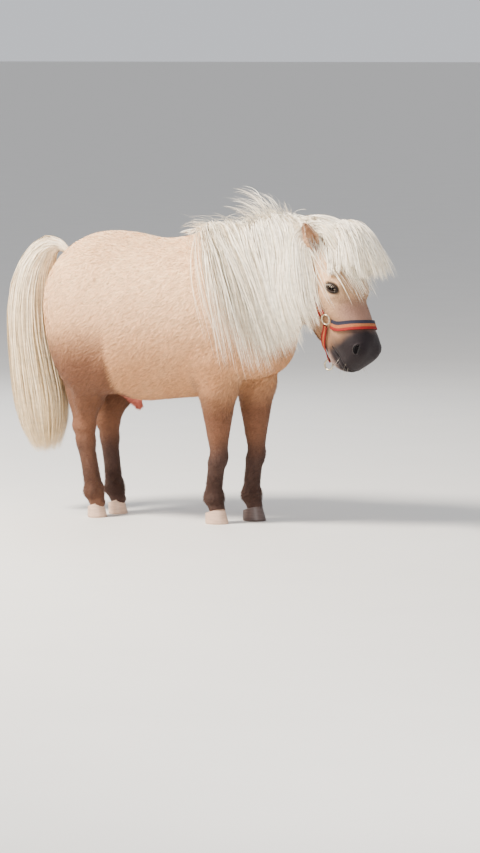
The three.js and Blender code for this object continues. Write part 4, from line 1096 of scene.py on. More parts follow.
def clump(paths, key_ring, leaders, strength):
    """Draws each strand towards the leader that is nearest at one ring, more so towards the tips."""
    count, rings = paths.shape[:2]
    keys = paths[:, key_ring]
    picks = rng.choice(count, leaders, replace=False)
    tree = KDTree(leaders)
    for number, pick in enumerate(picks):
        tree.insert(keys[pick], number)
    tree.balance()
    leader = paths[picks[[tree.find(key)[1] for key in keys]]]
    shares = np.linspace(0, 1, rings)
    offset = (paths[:, :1] - leader[:, :1]) * (1 - 0.75 * shares)[None, :, None]
    return paths + (leader + offset - paths) * (strength * shares**1.25)[None, :, None]


def wave(paths, reach, length):
    """A soft waver across each strand, nought at its root."""
    count, rings = paths.shape[:2]
    shares = np.linspace(0, 1, rings)
    turns = rng.uniform(0.6, 1.5, (count, 1)) * length
    phase = rng.uniform(0, 2 * math.pi, (count, 1))
    swing = np.sin(shares * turns * 2 * math.pi + phase) - np.sin(phase)
    axis = unit(rng.normal(size=(count, 3)))
    return paths + axis[:, None] * (swing * reach * shares[None] ** 0.8)[..., None]


def strand_object(name, paths, width, tint, tip_tint):
    """Ribbons for long hair, flat to the flesh under them, with a narrow root and a fine tip."""
    count, rings = paths.shape[:2]
    run = unit(np.gradient(paths, axis=1))
    outward = paths - (paths.mean(axis=0, keepdims=True) * [1, 0, 1])
    outward[..., 2] = 0
    roll = rng.uniform(-STRAND_ROLL, STRAND_ROLL, count)[:, None, None]
    flat = unit(np.cross(run, unit(outward)))
    side = unit(flat * np.cos(roll) + np.cross(run, flat) * np.sin(roll))
    shares = np.linspace(0, 1, rings)
    swell = 0.55 + 0.45 * np.sin(np.pi * np.minimum(shares * 1.9, 0.5))
    widths = width * rng.uniform(0.6, 1.35, count)[:, None] * swell * (1 - STRAND_TAPER * shares**2.6)
    tone = (1 + rng.normal(0, STRAND_SHADE, count))[:, None, None]
    warm = rng.random(count)[:, None, None] ** 2
    colour = tint + (tip_tint - tint) * (0.25 + 0.75 * shares)[None, :, None]
    colour = colour * tone * (1 - warm * STRAND_WARMTH)
    return ribbon_object(name, paths, widths, side, colour, uv_near(paths[:, 0]))


def crest_places(share):
    """Places on the top of the neck's crest, from the poll at nought to the mane's rear end at one."""
    x = MANE_FRONT_X + (MANE_REAR_X - MANE_FRONT_X) * share
    low, high = np.full(len(x), 700.0), np.full(len(x), 1010.0)
    y = np.interp(x, [MANE_REAR_X, NECK_ARCH[0], POLL[0]], [0, NECK_ARCH[1], POLL[1] + 4])
    for _ in range(22):
        middle = (low + high) / 2
        inside = body_distance(stacked(x, y, middle)) < 0
        low, high = np.where(inside, middle, low), np.where(inside, high, middle)
    return stacked(x, y, low)


# The mane's lengths from the poll to its rear end, and its lean forwards there
RIGHT_POLL_LENGTH = 345
RIGHT_MIDDLE_GAIN = 105
RIGHT_REAR_GAIN = 115
RIGHT_LEAN = 0.42
LEFT_POLL_LENGTH = 250
LEFT_MIDDLE_GAIN = 120
LEFT_REAR_LOSS = 70
LEFT_LEAN = -0.05
LEAN_LOSS = 0.2


def mane_strands(side, count, layer, spread):
    """Half a mane, hanging to one side of the crest. side is -1 for the right."""
    share = np.sort(rng.random(count))
    roots = crest_places(share)
    roots[:, 1] += side * rng.uniform(0, 20, count)
    roots = settle(body_distance, roots, -2, 2)
    if side < 0:
        length = RIGHT_POLL_LENGTH + RIGHT_MIDDLE_GAIN * np.minimum(share / 0.4, 1)
        length = length + RIGHT_REAR_GAIN * smooth_step(0.6, 0.95, share)
        lean = RIGHT_LEAN - LEAN_LOSS * share
    else:
        length = LEFT_POLL_LENGTH + LEFT_MIDDLE_GAIN * np.sin(math.pi * share) - LEFT_REAR_LOSS * share
        lean = LEFT_LEAN - LEAN_LOSS * share
    length = length * rng.uniform(0.72, 1.06, count)
    lean = lean + rng.normal(0, 0.07, count)
    forward = 0.25 + 0.5 * smooth_step(0.25, 0, share)
    headings = stacked(rng.normal(0, 0.18, count) + forward, side * 0.75, rng.uniform(0.6, 1.5, count))
    clearance = layer[0] + (layer[1] - layer[0]) * rng.random(count) ** 0.8
    pull = stacked(lean, side * -0.12, -1.0)
    paths = clear_of_ears(fall(roots, headings, length, pull, clearance, rings=16, stiffness=0.52))
    return wave(clump(paths, key_ring=4, leaders=count // 12, strength=spread), reach=4, length=1.0)


# Materials
def new_material(name):
    made = bpy.data.materials.new(name)
    made.use_nodes = True
    return made, made.node_tree


def feed(tree, node, inputs):
    """Sets a node's inputs to values, or joins them to other nodes' outputs."""
    for name, value in inputs.items():
        if isinstance(value, bpy.types.NodeSocket):
            tree.links.new(value, node.inputs[name])
        else:
            node.inputs[name].default_value = value


def add_node(tree, kind, output, inputs=None, **settings):
    """Adds a node and gives back one of its outputs."""
    made = tree.nodes.new(f"ShaderNode{kind}")
    for name, value in settings.items():
        setattr(made, name, value)
    feed(tree, made, inputs or {})
    return made.outputs[output]


def relief(tree, height, strength, distance, invert=False):
    inputs = {"Height": height, "Strength": strength, "Distance": distance}
    return add_node(tree, "Bump", "Normal", inputs, invert=invert)


def scaled(tree, colour, share):
    return add_node(tree, "VectorMath", "Vector", {0: colour, "Scale": share}, operation="SCALE")


def ramp(tree, value, stops, interpolation="LINEAR"):
    """Turns a value into colours, given as places along the ramp with linear colours."""
    made = tree.nodes.new("ShaderNodeValToRGB")
    made.color_ramp.interpolation = interpolation
    elements = made.color_ramp.elements
    while len(elements) < len(stops):
        elements.new(0.5)
    for element, (at, colour) in zip(elements, stops):
        element.position = at
        element.color = (*colour, 1)
    feed(tree, made, {"Fac": value})
    return made.outputs["Color"]


def fur_material(name, rough, bump, streak):
    """Takes its colour from the mesh, broken by fine noise drawn out along the lie of the coat."""
    made, tree = new_material(name)
    place = add_node(tree, "TexCoord", "Object")
    lie_turn = (0, math.radians(52), 0)
    turned = add_node(tree, "Mapping", "Vector", {"Vector": place, "Rotation": lie_turn, "Scale": streak})
    fine = add_node(tree, "TexNoise", "Fac", {"Vector": turned, "Scale": 1.0, "Detail": 4})
    shade = add_node(tree, "MapRange", "Result", {
        "Value": fine, "From Min": 0.25, "From Max": 0.75, "To Min": 0.8, "To Max": 1.12,
    })
    stored = add_node(tree, "Attribute", "Color", attribute_name="fur_colour")
    feed(tree, tree.nodes["Principled BSDF"], {
        "Base Color": scaled(tree, stored, shade), "Roughness": rough, "Specular IOR Level": 0.3,
        "Sheen Weight": 0.12, "Sheen Roughness": 0.5,
    })
    if bump:
        feed(tree, tree.nodes["Principled BSDF"], {"Normal": relief(tree, fine, 0.7, bump)})
    return made


def plain_material(name, colour, rough, noise_scale, bump, contrast, metal=0.0, stretch=1):
    """One colour broken by noise, with the same noise as a fine relief."""
    made, tree = new_material(name)
    place = add_node(tree, "TexCoord", "Object")
    scale = (noise_scale, noise_scale, noise_scale * stretch)
    turned = add_node(tree, "Mapping", "Vector", {"Vector": place, "Scale": scale})
    noise = add_node(tree, "TexNoise", "Fac", {"Vector": turned, "Scale": 1.0, "Detail": 5})
    stops = ((0.3, colour * (1 - contrast)), (0.7, np.minimum(colour * (1 + contrast), 1)))
    feed(tree, tree.nodes["Principled BSDF"], {
        "Base Color": ramp(tree, noise, stops), "Normal": relief(tree, noise, 0.6, bump),
        "Roughness": rough, "Metallic": metal,
    })
    return made


coat_finish = fur_material("coat", rough=0.62, bump=0.0012, streak=(70, 520, 520))
tuft_finish = fur_material("fur_tufts", rough=0.58, bump=0, streak=(60, 160, 160))
strand_finish = fur_material("long_hair", rough=0.46, bump=0, streak=(40, 90, 90))


def dress(target, material, slot_name, *nodes):
    """Puts a piece in place with its finish, and hides the nodes that it stands for."""
    target.data.materials.clear()
    target.data.materials.append(material)
    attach(target, "root")
    if nodes:
        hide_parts(*nodes)


def hair_piece(name, paths, width, tint, tip_tint, *nodes):
    dress(strand_object(name, paths, width, tint, tip_tint), strand_finish, "long_hair", *nodes)


FLESH_NODES = ["torso", "neck", "head", "ear_left", "ear_right", "sheath"]
FLESH_NODES += [f"{leg}_leg" for leg in leg_plans]
dress(skin, coat_finish, "coat", *FLESH_NODES)

# Coat, in pieces by part of the body, with the lift and width of their tufts
roots = scatter()
keep = fur_grows(roots[0])
points, normals, places = (part[keep] for part in roots)
is_head = (to_head(points)[:, 0] > -10) & (points[:, 0] > 450)
is_leg = ~is_head & (points[:, 2] < 430)
is_front = ~is_head & ~is_leg & (points[:, 0] > 60)
is_rear = ~is_head & ~is_leg & ~is_front
coat_parts = (
    ("coat_head", is_head, 0.22, 1.3, "coat"),
    ("coat_legs", is_leg, 0.22, 1.3, "leg_coat"),
    ("coat_front", is_front, 0.25, 2.0, "coat"),
    ("coat_rear", is_rear, 0.25, 2.0, "coat"),
)
for name, mask, lift, width, slot_name in coat_parts:
    made = grow_tufts(name, points[mask], normals[mask], places[mask], lift, width)
    dress(made, tuft_finish, slot_name)


# Lengths of the white hair in the ears, and the share of it that grows on their rims
EAR_FUR = {"left": 17.0, "right": 8.0}
RIM_SHARE = 0.6


def ear_tufts(count):
    """White hair along the rims and in the hollow of both ears, and past the far ear's tip."""
    roots, headings, lengths = [], [], []
    for side_name, full in EAR_FUR.items():
        base, along, front, across = ear_frames[side_name]
        share = rng.uniform(0.05, 0.98, count)
        width, depth = EAR_WIDTH / 2 * ear_profile(share), EAR_DEPTH / 2 * ear_profile(share)
        middle = base + np.outer(share * (EAR_LENGTH + EAR_ROOT) - EAR_ROOT, along)
        middle = middle + np.outer(EAR_BEND * share**2, front)
        sign = rng.choice((-1, 1), count)
        on_rim = rng.random(count) < RIM_SHARE
        turn = sign * EAR_WRAP * np.where(on_rim, 1, rng.uniform(0.2, 1, count))
        sideways = np.outer(np.sin(turn) * width * 0.9, across)
        roots.append(middle + sideways - np.outer(np.cos(turn) * depth * 0.9, front))
        inward = -np.sign(turn)[:, None] * across * 0.3
        headings.append(unit(along + inward + front * 0.25 + rng.normal(0, 0.18, (count, 3))))
        lengths.append(rng.uniform(0.5, 1.2, count) * full * (1 - 0.35 * share))
    runs = np.concatenate(lengths)[:, None] * np.linspace(0, 1, EAR_TUFT_RINGS)
    return np.concatenate(roots)[:, None] + np.concatenate(headings)[:, None] * runs[..., None]


MANE_SHADE = MANE_WHITE * 0.96
FRINGE_SHADE = MANE_WHITE * 0.95
ear_fur = strand_object("ear_fur", ear_tufts(count=700), 0.9, MANE_WHITE * 0.92, MANE_WHITE)
dress(ear_fur, strand_finish, "coat")

# Mane, forelock and tail
under_layer = mane_strands(side=-1, count=2600, layer=(5, 24), spread=0.5)
over_layer = mane_strands(side=-1, count=2600, layer=(20, 50), spread=0.55)
hair_piece("mane_right", np.concatenate([under_layer, over_layer]), 2.0, MANE_SHADE, MANE_WHITE, "mane")
left_layer = mane_strands(side=1, count=1300, layer=(5, 30), spread=0.75)
hair_piece("mane_left", left_layer, 2.8, MANE_SHADE, MANE_WHITE)


def wisps(count):
    """Loose hairs that stand up along the crest before they fall."""
    roots = crest_places(rng.random(count))
    roots[:, 1] += rng.uniform(-12, 12, count)
    headings = stacked(rng.normal(0.2, 0.3, count), rng.normal(-0.25, 0.3, count), 1.0)
    pull = stacked(rng.normal(-0.1, 0.35, count), -0.5, rng.uniform(-0.6, 0.1, count))
    length = rng.uniform(50, 130, count)
    paths = fall(roots, headings, length, pull, np.full(count, 4.0), rings=10, stiffness=0.72)
    return wave(paths, reach=5, length=0.8)


# Locks that stand up off the crest: X in the drawing, height, and how far they bend back
HAIRS_IN_LOCK = 34
BLOWN_LOCKS = ((330, 150, -0.8), (352, 188, -0.66), (384, 165, -0.45), (300, 120, -0.85), (412, 135, -0.1))


def blown_locks():
    """A few long locks that stand up off the crest and bend back, as if blown."""
    paths = []
    shares = np.linspace(0, 1, 10)[:, None]
    for x, height, back in BLOWN_LOCKS:
        root = crest_places(np.array([(x - MANE_FRONT_X) / (MANE_REAR_X - MANE_FRONT_X)]))[0]
        for _ in range(HAIRS_IN_LOCK):
            start = root + [rng.normal(0, 12), rng.normal(0, 7), -4]
            length = height * rng.uniform(0.6, 1.1)
            side = rng.normal(0, 0.1)
            rise = np.array([back * 0.5, side - 0.06, 1.0]) * length * (shares - 0.42 * shares**2)
            bend = np.array([back, side, -0.1]) * length * 0.62 * shares**2
            paths.append(start + rise + bend)
    return wave(np.array(paths), reach=4, length=0.8)


loose = np.concatenate([wisps(count=420), blown_locks()])
hair_piece("mane_wisps", loose, 1.2, MANE_WHITE, MANE_WHITE)

FORELOCK_FAN = math.radians(92)
FRINGE_RINGS = 13
FRINGE_LAYER = (5, 60)
FRINGE_DROOP = 26


def forelock_strands(count):
    """Hair from the poll: it rises, arches over the brow in a dome and ends above the eyes."""
    along = rng.uniform(-48, 34, count)
    aside = np.clip(rng.normal(0, 20, count), -38, 38)
    roots = settle(body_distance, from_head(stacked(along, aside, 60.0)), -2, 8)
    fan = np.clip(aside / 36, -1, 1) * FORELOCK_FAN / 2 * (0.5 + 0.5 * smooth_step(-30, 20, along))
    fan = fan + rng.normal(0, 0.2, count)
    outer = rng.random(count) ** 0.7
    headings = stacked(np.cos(fan) * (0.35 + 0.3 * outer), np.sin(fan) * 0.75, 0.5 + 0.7 * outer)
    pull = head_turned(stacked(0.75, np.sin(fan) * 0.5, 0.55 * outer - 0.3)) + [0.0, 0, -0.35]
    length = (122 + 58 * outer) * rng.uniform(0.8, 1.08, count) * (1 - 0.1 * np.abs(np.sin(fan)))
    clearance = FRINGE_LAYER[0] + FRINGE_LAYER[1] * outer
    headings = head_turned(headings)
    paths = fall(roots, headings, length, pull, clearance, FRINGE_RINGS, stiffness=0.66)
    droop = np.linspace(0, 1, FRINGE_RINGS) ** 3.2
    sink = np.array([-0.06, 0, -1.0]) * (droop[None, :, None] * FRINGE_DROOP * outer[:, None, None])
    paths = clump(clear_of_ears(paths + sink), key_ring=4, leaders=count // 14, strength=0.6)
    return wave(paths, reach=4, length=0.9)


def temple_strands(count):
    """White hair that hangs from in front of each ear towards the eye."""
    share = rng.random(count)
    side = rng.choice((-1.0, 1.0), count)
    across = 40 + 20 * share + rng.normal(0, 6, count)
    start = stacked(22 + 62 * share + rng.normal(0, 6, count), side * across, 26 - 8 * share)
    roots = settle(body_distance, from_head(start), -2, 8)
    headings = head_turned(stacked(0.8, side * 0.3, rng.uniform(0.3, 0.8, count)))
    pull = head_turned(stacked(0.7, side * 0.15, -0.1)) + [0, 0, -0.7]
    length = rng.uniform(52, 96, count) * (1.1 - 0.45 * share)
    clearance = rng.uniform(3, 15, count)
    paths = fall(roots, headings, length, pull, clearance, FRINGE_RINGS, stiffness=0.6)
    paths = clear_of_ears(clump(paths, key_ring=4, leaders=count // 14, strength=0.5))
    return wave(paths, reach=2.5, length=0.8)


fringe = np.concatenate([forelock_strands(count=3200), temple_strands(count=800)])
hair_piece("forelock_hair", fringe, 1.9, FRINGE_SHADE, MANE_WHITE, "forelock")

# The tail's middle line from the dock to the tips, with half its thickness along and across the pony
TAIL_LINE = np.array([
    (-364, 838), (-390, 856), (-422, 853), (-452, 828), (-476, 782), (-490, 722),
    (-495, 645), (-490, 560), (-476, 470), (-461, 375), (-450, 285), (-440, 190),
], dtype=float)
TAIL_HALF_ALONG = [18, 27, 37, 46, 57, 66, 73, 78, 85, 92, 82, 40]
TAIL_HALF_ACROSS = [24, 34, 43, 46, 57, 66, 72, 76, 78, 76, 66, 36]

TAIL_RINGS = 20


def tail_strands(count):
    """Hair from round the dock: it rises, falls behind the buttocks and ends in a full, tapered brush."""
    stations = np.linspace(0, 1, len(TAIL_LINE))
    start = rng.random(count)[:, None] * 0.22
    end = 1 - 0.3 * rng.random(count)[:, None] ** 2.4
    turn = rng.uniform(0, 2 * math.pi, count)[:, None]
    reach = np.sqrt(rng.random(count))[:, None]
    shares = np.linspace(0, 1, TAIL_RINGS)
    at = start + (end - start) * shares[None] ** 0.9
    slopes = np.gradient(TAIL_LINE, axis=0)
    line_x, line_z = (np.interp(at, stations, TAIL_LINE[:, i]) for i in (0, 1))
    slope_x, slope_z = (np.interp(at, stations, slopes[:, i]) for i in (0, 1))
    outward = unit(stacked(slope_z, -slope_x))
    spread = smooth_step(0, 0.24, shares)[None]
    grown = 0.55 * (1 - spread) + reach * spread
    along = np.cos(turn) * grown * np.interp(at, stations, TAIL_HALF_ALONG)
    across = np.sin(turn) * grown * np.interp(at, stations, TAIL_HALF_ACROSS)
    places = stacked(line_x - outward[..., 0] * along, across, line_z - outward[..., 1] * along)
    flat = places.reshape(-1, 3)
    near = (body_distance(flat) < 5) & (np.tile(shares, count) > 0.15)
    flat[near] = settle(body_distance, flat[near], 6, 2)
    paths = clump(flat.reshape(count, TAIL_RINGS, 3), key_ring=9, leaders=count // 10, strength=0.4)
    return wave(paths, reach=6, length=1.1)


# The tail yellows towards its tips: partly its own colour, partly painted shade on the lower hair
hair_piece("tail_hair", tail_strands(count=4800), 2.4, FRINGE_SHADE, TAIL_YELLOW, "tail")

# Eyes: a dark wet ball with its pupil and iris, and lashes on the upper lid
PUPIL_STRETCH = 0.62
EYE_RINGS = (
    (0.0, (0.002, 0.002, 0.003)), (0.3, (0.003, 0.002, 0.002)), (0.4, (0.026, 0.012, 0.007)),
    (0.6, (0.014, 0.007, 0.005)), (0.72, (0.004, 0.003, 0.003)), (0.95, (0.03, 0.022, 0.018)),
)


def eye_material():
    """Rings of colour about the middle of the eye, wider along it, with a wavering edge."""
    made, tree = new_material("eye")
    place = add_node(tree, "TexCoord", "Object")
    narrow = {0: place, 1: (PUPIL_STRETCH, 1, 0)}
    flat = add_node(tree, "VectorMath", "Vector", narrow, operation="MULTIPLY")
    away = add_node(tree, "VectorMath", "Value", {0: flat}, operation="LENGTH")
    noise = add_node(tree, "TexNoise", "Fac", {"Vector": place, "Scale": 420, "Detail": 3})
    sway = add_node(tree, "Math", "Value", {0: noise, 1: 0.0016, 2: away}, operation="MULTIPLY_ADD")
    share = add_node(tree, "MapRange", "Result", {"Value": sway, "From Max": EYE_RADIUS / 1000})
    feed(tree, tree.nodes["Principled BSDF"], {
        "Base Color": ramp(tree, share, EYE_RINGS, "EASE"), "Roughness": 0.1, "Specular IOR Level": 0.16,
    })
    return made


def placed_shape(name, build, centre, x_axis, y_axis, z_axis):
    """A mesh built about its own middle and turned into place, in metres."""
    shape = bmesh.new()
    build(shape)
    data = bpy.data.meshes.new(name)
    shape.to_mesh(data)
    shape.free()
    made = linked_object(name, data)
    turn = Matrix((x_axis, y_axis, z_axis)).transposed().to_4x4()
    made.matrix_world = Matrix.Translation(Vector(to_frame(centre))) @ turn
    return made


def eye_ball(shape):
    bmesh.ops.create_uvsphere(shape, u_segments=48, v_segments=32, radius=EYE_RADIUS / 1000)


eye_finish = eye_material()
for side_name, eye in eyes.items():
    third_axis = np.cross(eye["long"], eye["up"])
    made = placed_shape(f"eyeball_{side_name}", eye_ball, eye["centre"], eye["long"], eye["up"], third_axis)
    dress(made, eye_finish, "eye", f"eye_{side_name}")

LASH_COLOUR = linear(232, 222, 208)
LASH_COUNT = 40
WHISKER_COUNT = 44
lash_shares = np.linspace(0, 1, 6)[:, None]


def lash_strands():
    """Pale lashes along both upper lids, longest in the middle."""
    paths = []
    for eye in eyes.values():
        for _ in range(LASH_COUNT):
            u = rng.uniform(-0.95, 0.95)
            rim = EYE_OPEN_HEIGHT / 2 * UPPER_LID * (1 - u * u) + rng.uniform(0.6, 3.0)
            root = eye["place"] + eye["long"] * u * EYE_OPEN_LENGTH / 2 + eye["up"] * rim + eye["out"] * 1.2
            length = rng.uniform(13, 24) * (1 - 0.4 * abs(u))
            lean = eye["out"] + eye["up"] * rng.uniform(-0.35, 0.1)
            lean = lean + eye["long"] * (0.4 * u + rng.normal(0, 0.12))
            droop = (eye["up"] * 0.15 + DOWN * 0.75) * length * 0.45 * lash_shares**2
            paths.append(root + unit(lean) * length * lash_shares + droop)
    return np.array(paths)


def whisker_strands():
    """Feelers on the lips and chin."""
    paths = []
    for _ in range(WHISKER_COUNT):
        along = rng.uniform(MUZZLE_END - 44, MUZZLE_END - 6)
        side = rng.choice((-1, 1))
        low = rng.uniform(-118, -60)
        point, out = head_surface(along, side * rng.uniform(8, 50), low)
        length = rng.uniform(14, 34)
        lean = unit(out + 0.5 * unit(np.array(head_along)) + rng.normal(0, 0.15, 3))
        droop = DOWN * length * 0.3 * lash_shares**2
        paths.append(point - out * 2 + lean * length * lash_shares + droop)
    return np.array(paths)


hair_piece("lashes", lash_strands(), 0.4, LASH_COLOUR, LASH_COLOUR)
hair_piece("whiskers", whisker_strands(), 0.45, LASH_COLOUR * 0.4, LASH_COLOUR * 0.6)

# Hooves: rings of horn from the crown to the ground, with growth lines
HOOF_TOE_HEIGHT = 50
HOOF_HEEL_HEIGHT = 32
HOOF_RINGS = 26
HOOF_SIDES = 48
HOOF_LEAN = 7


def hoof_shell(sole, reach):
    """A hoof over its sole, wider at the ground, with its rim rounded over."""
    rows = []
    turn = np.arange(HOOF_SIDES) * 2 * math.pi / HOOF_SIDES
    for ring in range(HOOF_RINGS + 1):
        share = ring / HOOF_RINGS
        spread = 1 - 0.2 * share - 0.05 * smooth_step(0.1, 0, share)
        growth = 0.35 * math.sin(ring * 2.4) * (share < 0.9)
        x = sole[0] + (reach * spread + growth) * np.cos(turn) - HOOF_LEAN * share
        y = sole[1] + (HOOF_WIDTH / 2 * spread + growth) * np.sin(turn)
        crown = HOOF_HEEL_HEIGHT + (HOOF_TOE_HEIGHT - HOOF_HEEL_HEIGHT) * (1 + np.cos(turn)) / 2
        rows.append(np.stack([x, y, crown * share], axis=-1))
    vertices = np.concatenate([*rows, [[*sole, 0.0]], rows[-1].mean(axis=0, keepdims=True)])
    here = np.arange(HOOF_SIDES)
    ahead = (here + 1) % HOOF_SIDES
    top = HOOF_RINGS * HOOF_SIDES
    low_cap = stacked(ahead, here, len(vertices) - 2)
    high_cap = stacked(top + here, top + ahead, len(vertices) - 1)
    walls = halved(tube_quads(HOOF_RINGS + 1, HOOF_SIDES))
    return vertices, np.concatenate([walls, low_cap, high_cap])


# Roughness of the horn, size of its noise and depth of its relief
HORN_LOOK = (0.42, 24, 0.0006)
horn_finishes = {
    "pale_hoof": plain_material("pale_horn", linear(200, 172, 152), *HORN_LOOK, contrast=0.16, stretch=9),
    "dark_hoof": plain_material("dark_horn", linear(98, 84, 80), *HORN_LOOK, contrast=0.25, stretch=9),
}
for name, plan in leg_plans.items():
    reach = HOOF_LENGTH / 2 * (1 if name.startswith("fore") else 0.8)
    slot_name = "dark_hoof" if name == "fore_left" else "pale_hoof"
    made = mesh_object(f"{name}_horn", *hoof_shell(plan["sole"], reach))
    dress(made, horn_finishes[slot_name], slot_name, f"{name}_hoof")

# Halter: webbing straps settled round the head, joined by rings
STRAP_THICK = 3
STRAP_LIFT = 2.2
RING_RADIUS = 15
RING_WIRE = 2.6
STRAP_GAP = RING_RADIUS + RING_WIRE + 1.5
SIDE_RING = (238, 78, -54)
CHIN_RING = (MUZZLE_END - 56, 0, -139)


def curve_through(stops, count):
    """Points along a smooth curve through stops, evenly apart."""
    stops = np.array(stops, dtype=float)
    padded = np.concatenate([[2 * stops[0] - stops[1]], stops, [2 * stops[-1] - stops[-2]]])
    curve = []
    for i in range(len(stops) - 1):
        p0, p1, p2, p3 = padded[i:i + 4]
        bend = 2 * p0 - 5 * p1 + 4 * p2 - p3
        twist = 3 * p1 - p0 - 3 * p2 + p3
        for t in np.linspace(0, 1, 40, endpoint=False):
            curve.append(0.5 * (2 * p1 + (p2 - p0) * t + bend * t * t + twist * t**3))
    curve = np.array([*curve, stops[-1]])
    run = np.concatenate([[0], np.cumsum(np.linalg.norm(np.diff(curve, axis=0), axis=1))])
    wanted = np.linspace(0, run[-1], count)
    return np.stack([np.interp(wanted, run, curve[:, i]) for i in range(3)], axis=-1)


def strap_rows(stops, width):
    """Rings of points of a flat woven strap over the head's surface, with a bead along each edge."""
    curve = from_head(curve_through(stops, STRAP_ROWS))
    middle = settle(body_distance, curve, STRAP_LIFT + STRAP_THICK / 2, 14)
    out = unit(slope_of(body_distance, middle))
    run = unit(np.gradient(middle, axis=0))
    out = unit(out - run * (out * run).sum(-1, keepdims=True))
    across = np.cross(run, out)
    half, thick = width / 2, STRAP_THICK / 2
    outline = [(-half, 0), (-half + 0.6, thick * 0.8), (-half + 2.2, thick), (-half + 3.4, thick * 0.72)]
    outline += [(w * half, thick * 0.8) for w in (-0.45, 0, 0.45)]
    outline += [(-w, h) for w, h in outline[3::-1]]
    outline += [(half - 2.2, -thick), (0, -thick * 0.9), (-half + 2.2, -thick)]
    section = np.array(outline)
    return middle[:, None] + across[:, None] * section[None, :, :1] + out[:, None] * section[None, :, 1:]


def mirrored(stops):
    return [(x, -y, z) for x, y, z in stops]


# Straps, as stops in the head's frame
STRAP_ROWS = 70
NOSEBAND_WIDTH = 30
STRAP_WIDTH = 22
CHIN_WIDTH = 18
noseband_half = [(SIDE_RING[0] + STRAP_GAP, 84, SIDE_RING[2] + 10), (274, 78, -24), (292, 52, 26)]
noseband = [*noseband_half, (298, 0, 40), *mirrored(noseband_half)[::-1]]
cheek = [(SIDE_RING[0] - STRAP_GAP, 88, SIDE_RING[2] - 4), (130, 96, -66), (60, 84, -44), (-2, 74, -30)]
chin = [
    (SIDE_RING[0] + STRAP_GAP * 0.7, 74, SIDE_RING[2] - STRAP_GAP * 0.8), (272, 58, -100),
    (308, 34, -128), (CHIN_RING[0], 16, CHIN_RING[2]),
]
crown = [(-20, 66, -20), (-24, 40, 22), (-26, 0, 44), (-24, -40, 22), (-20, -66, -20)]


def webbing(name, bands):
    """Woven nylon: coloured bands along the strap, crossed by a fine weave."""
    made, tree = new_material(name)
    stored = add_node(tree, "Attribute", "Vector", attribute_name="strap_place")
    across = add_node(tree, "SeparateXYZ", "Y", {"Vector": stored})
    stretch = add_node(tree, "Mapping", "Vector", {"Vector": stored, "Scale": (620, 11, 1)})
    weave = add_node(tree, "TexVoronoi", "Distance", {"Vector": stretch, "Scale": 1.0})
    shade = add_node(tree, "MapRange", "Result", {"Value": weave, "To Min": 1.15, "To Max": 0.62})
    feed(tree, tree.nodes["Principled BSDF"], {
        "Base Color": scaled(tree, ramp(tree, across, bands, "CONSTANT"), shade),
        "Normal": relief(tree, weave, 0.8, 0.0006, invert=True), "Roughness": 0.72,
    })
    return made


STRAP_BLUE = linear(52, 50, 66)
STRAP_TAN = linear(178, 112, 72)
STRAP_RED = linear(150, 40, 34)
nose_webbing = webbing("nose_webbing", [(0.0, STRAP_RED), (0.3, STRAP_TAN), (0.62, STRAP_BLUE)])
side_webbing = webbing("side_webbing", [(0.0, STRAP_RED), (0.34, STRAP_TAN), (0.66, STRAP_RED)])


def strap_object(name, stops, width, material, node):
    """A closed strap that keeps, for every vertex, its place along and across the webbing."""
    rows = strap_rows(stops, width)
    size = rows.shape[1]
    end = (STRAP_ROWS - 1) * size
    caps = [(0, i, i + 1) for i in range(1, size - 1)]
    caps += [(end, end + i + 1, end + i) for i in range(1, size - 1)]
    faces = np.concatenate([halved(tube_quads(STRAP_ROWS, size)), np.array(caps)])
    made = mesh_object(name, rows.reshape(-1, 3), faces)
    middles = rows.mean(axis=1)
    steps = np.linalg.norm(np.diff(middles, axis=0), axis=1)
    run = np.concatenate([[0], np.cumsum(steps)]) / 1000
    across_axis = unit(np.cross(np.gradient(middles, axis=0), slope_of(body_distance, middles)))
    across = ((rows - middles[:, None]) * across_axis[:, None]).sum(-1) / width + 0.5
    layer = made.data.attributes.new("strap_place", "FLOAT_VECTOR", "POINT")
    layer.data.foreach_set("vector", stacked(run[:, None], across, 0.0).astype(np.float32).ravel())
    dress(made, material, "strap", node)


strap_object("noseband", noseband, NOSEBAND_WIDTH, nose_webbing, "halter_noseband")
strap_object("crown_strap", crown, STRAP_WIDTH, side_webbing, "halter_crown")
for side_name, turned in (("left", lambda stops: stops), ("right", mirrored)):
    for part, stops, width in (("cheek", cheek, STRAP_WIDTH), ("chin", chin, CHIN_WIDTH)):
        node = f"halter_{part}_{side_name}"
        strap_object(f"{part}_strap_{side_name}", turned(stops), width, side_webbing, node)

ring_finish = plain_material("ring_metal", linear(196, 186, 164), 0.32, 180, 0.0002, 0.15, metal=1.0)


def torus(shape):
    """A round wire bent into a ring about Z, in metres."""
    radius, wire = RING_RADIUS / 1000, RING_WIRE / 1000
    rows = []
    for a in np.arange(RING_TURNS) * 2 * math.pi / RING_TURNS:
        row = []
        for b in np.arange(RING_SIDES) * 2 * math.pi / RING_SIDES:
            reach = radius + wire * math.cos(b)
            row.append(shape.verts.new((reach * math.cos(a), reach * math.sin(a), wire * math.sin(b))))
        rows.append(row)
    for row, after in zip(rows, rows[1:] + rows[:1]):
        for j in range(RING_SIDES):
            k = (j + 1) % RING_SIDES
            shape.faces.new((row[j], after[j], after[k], row[k]))


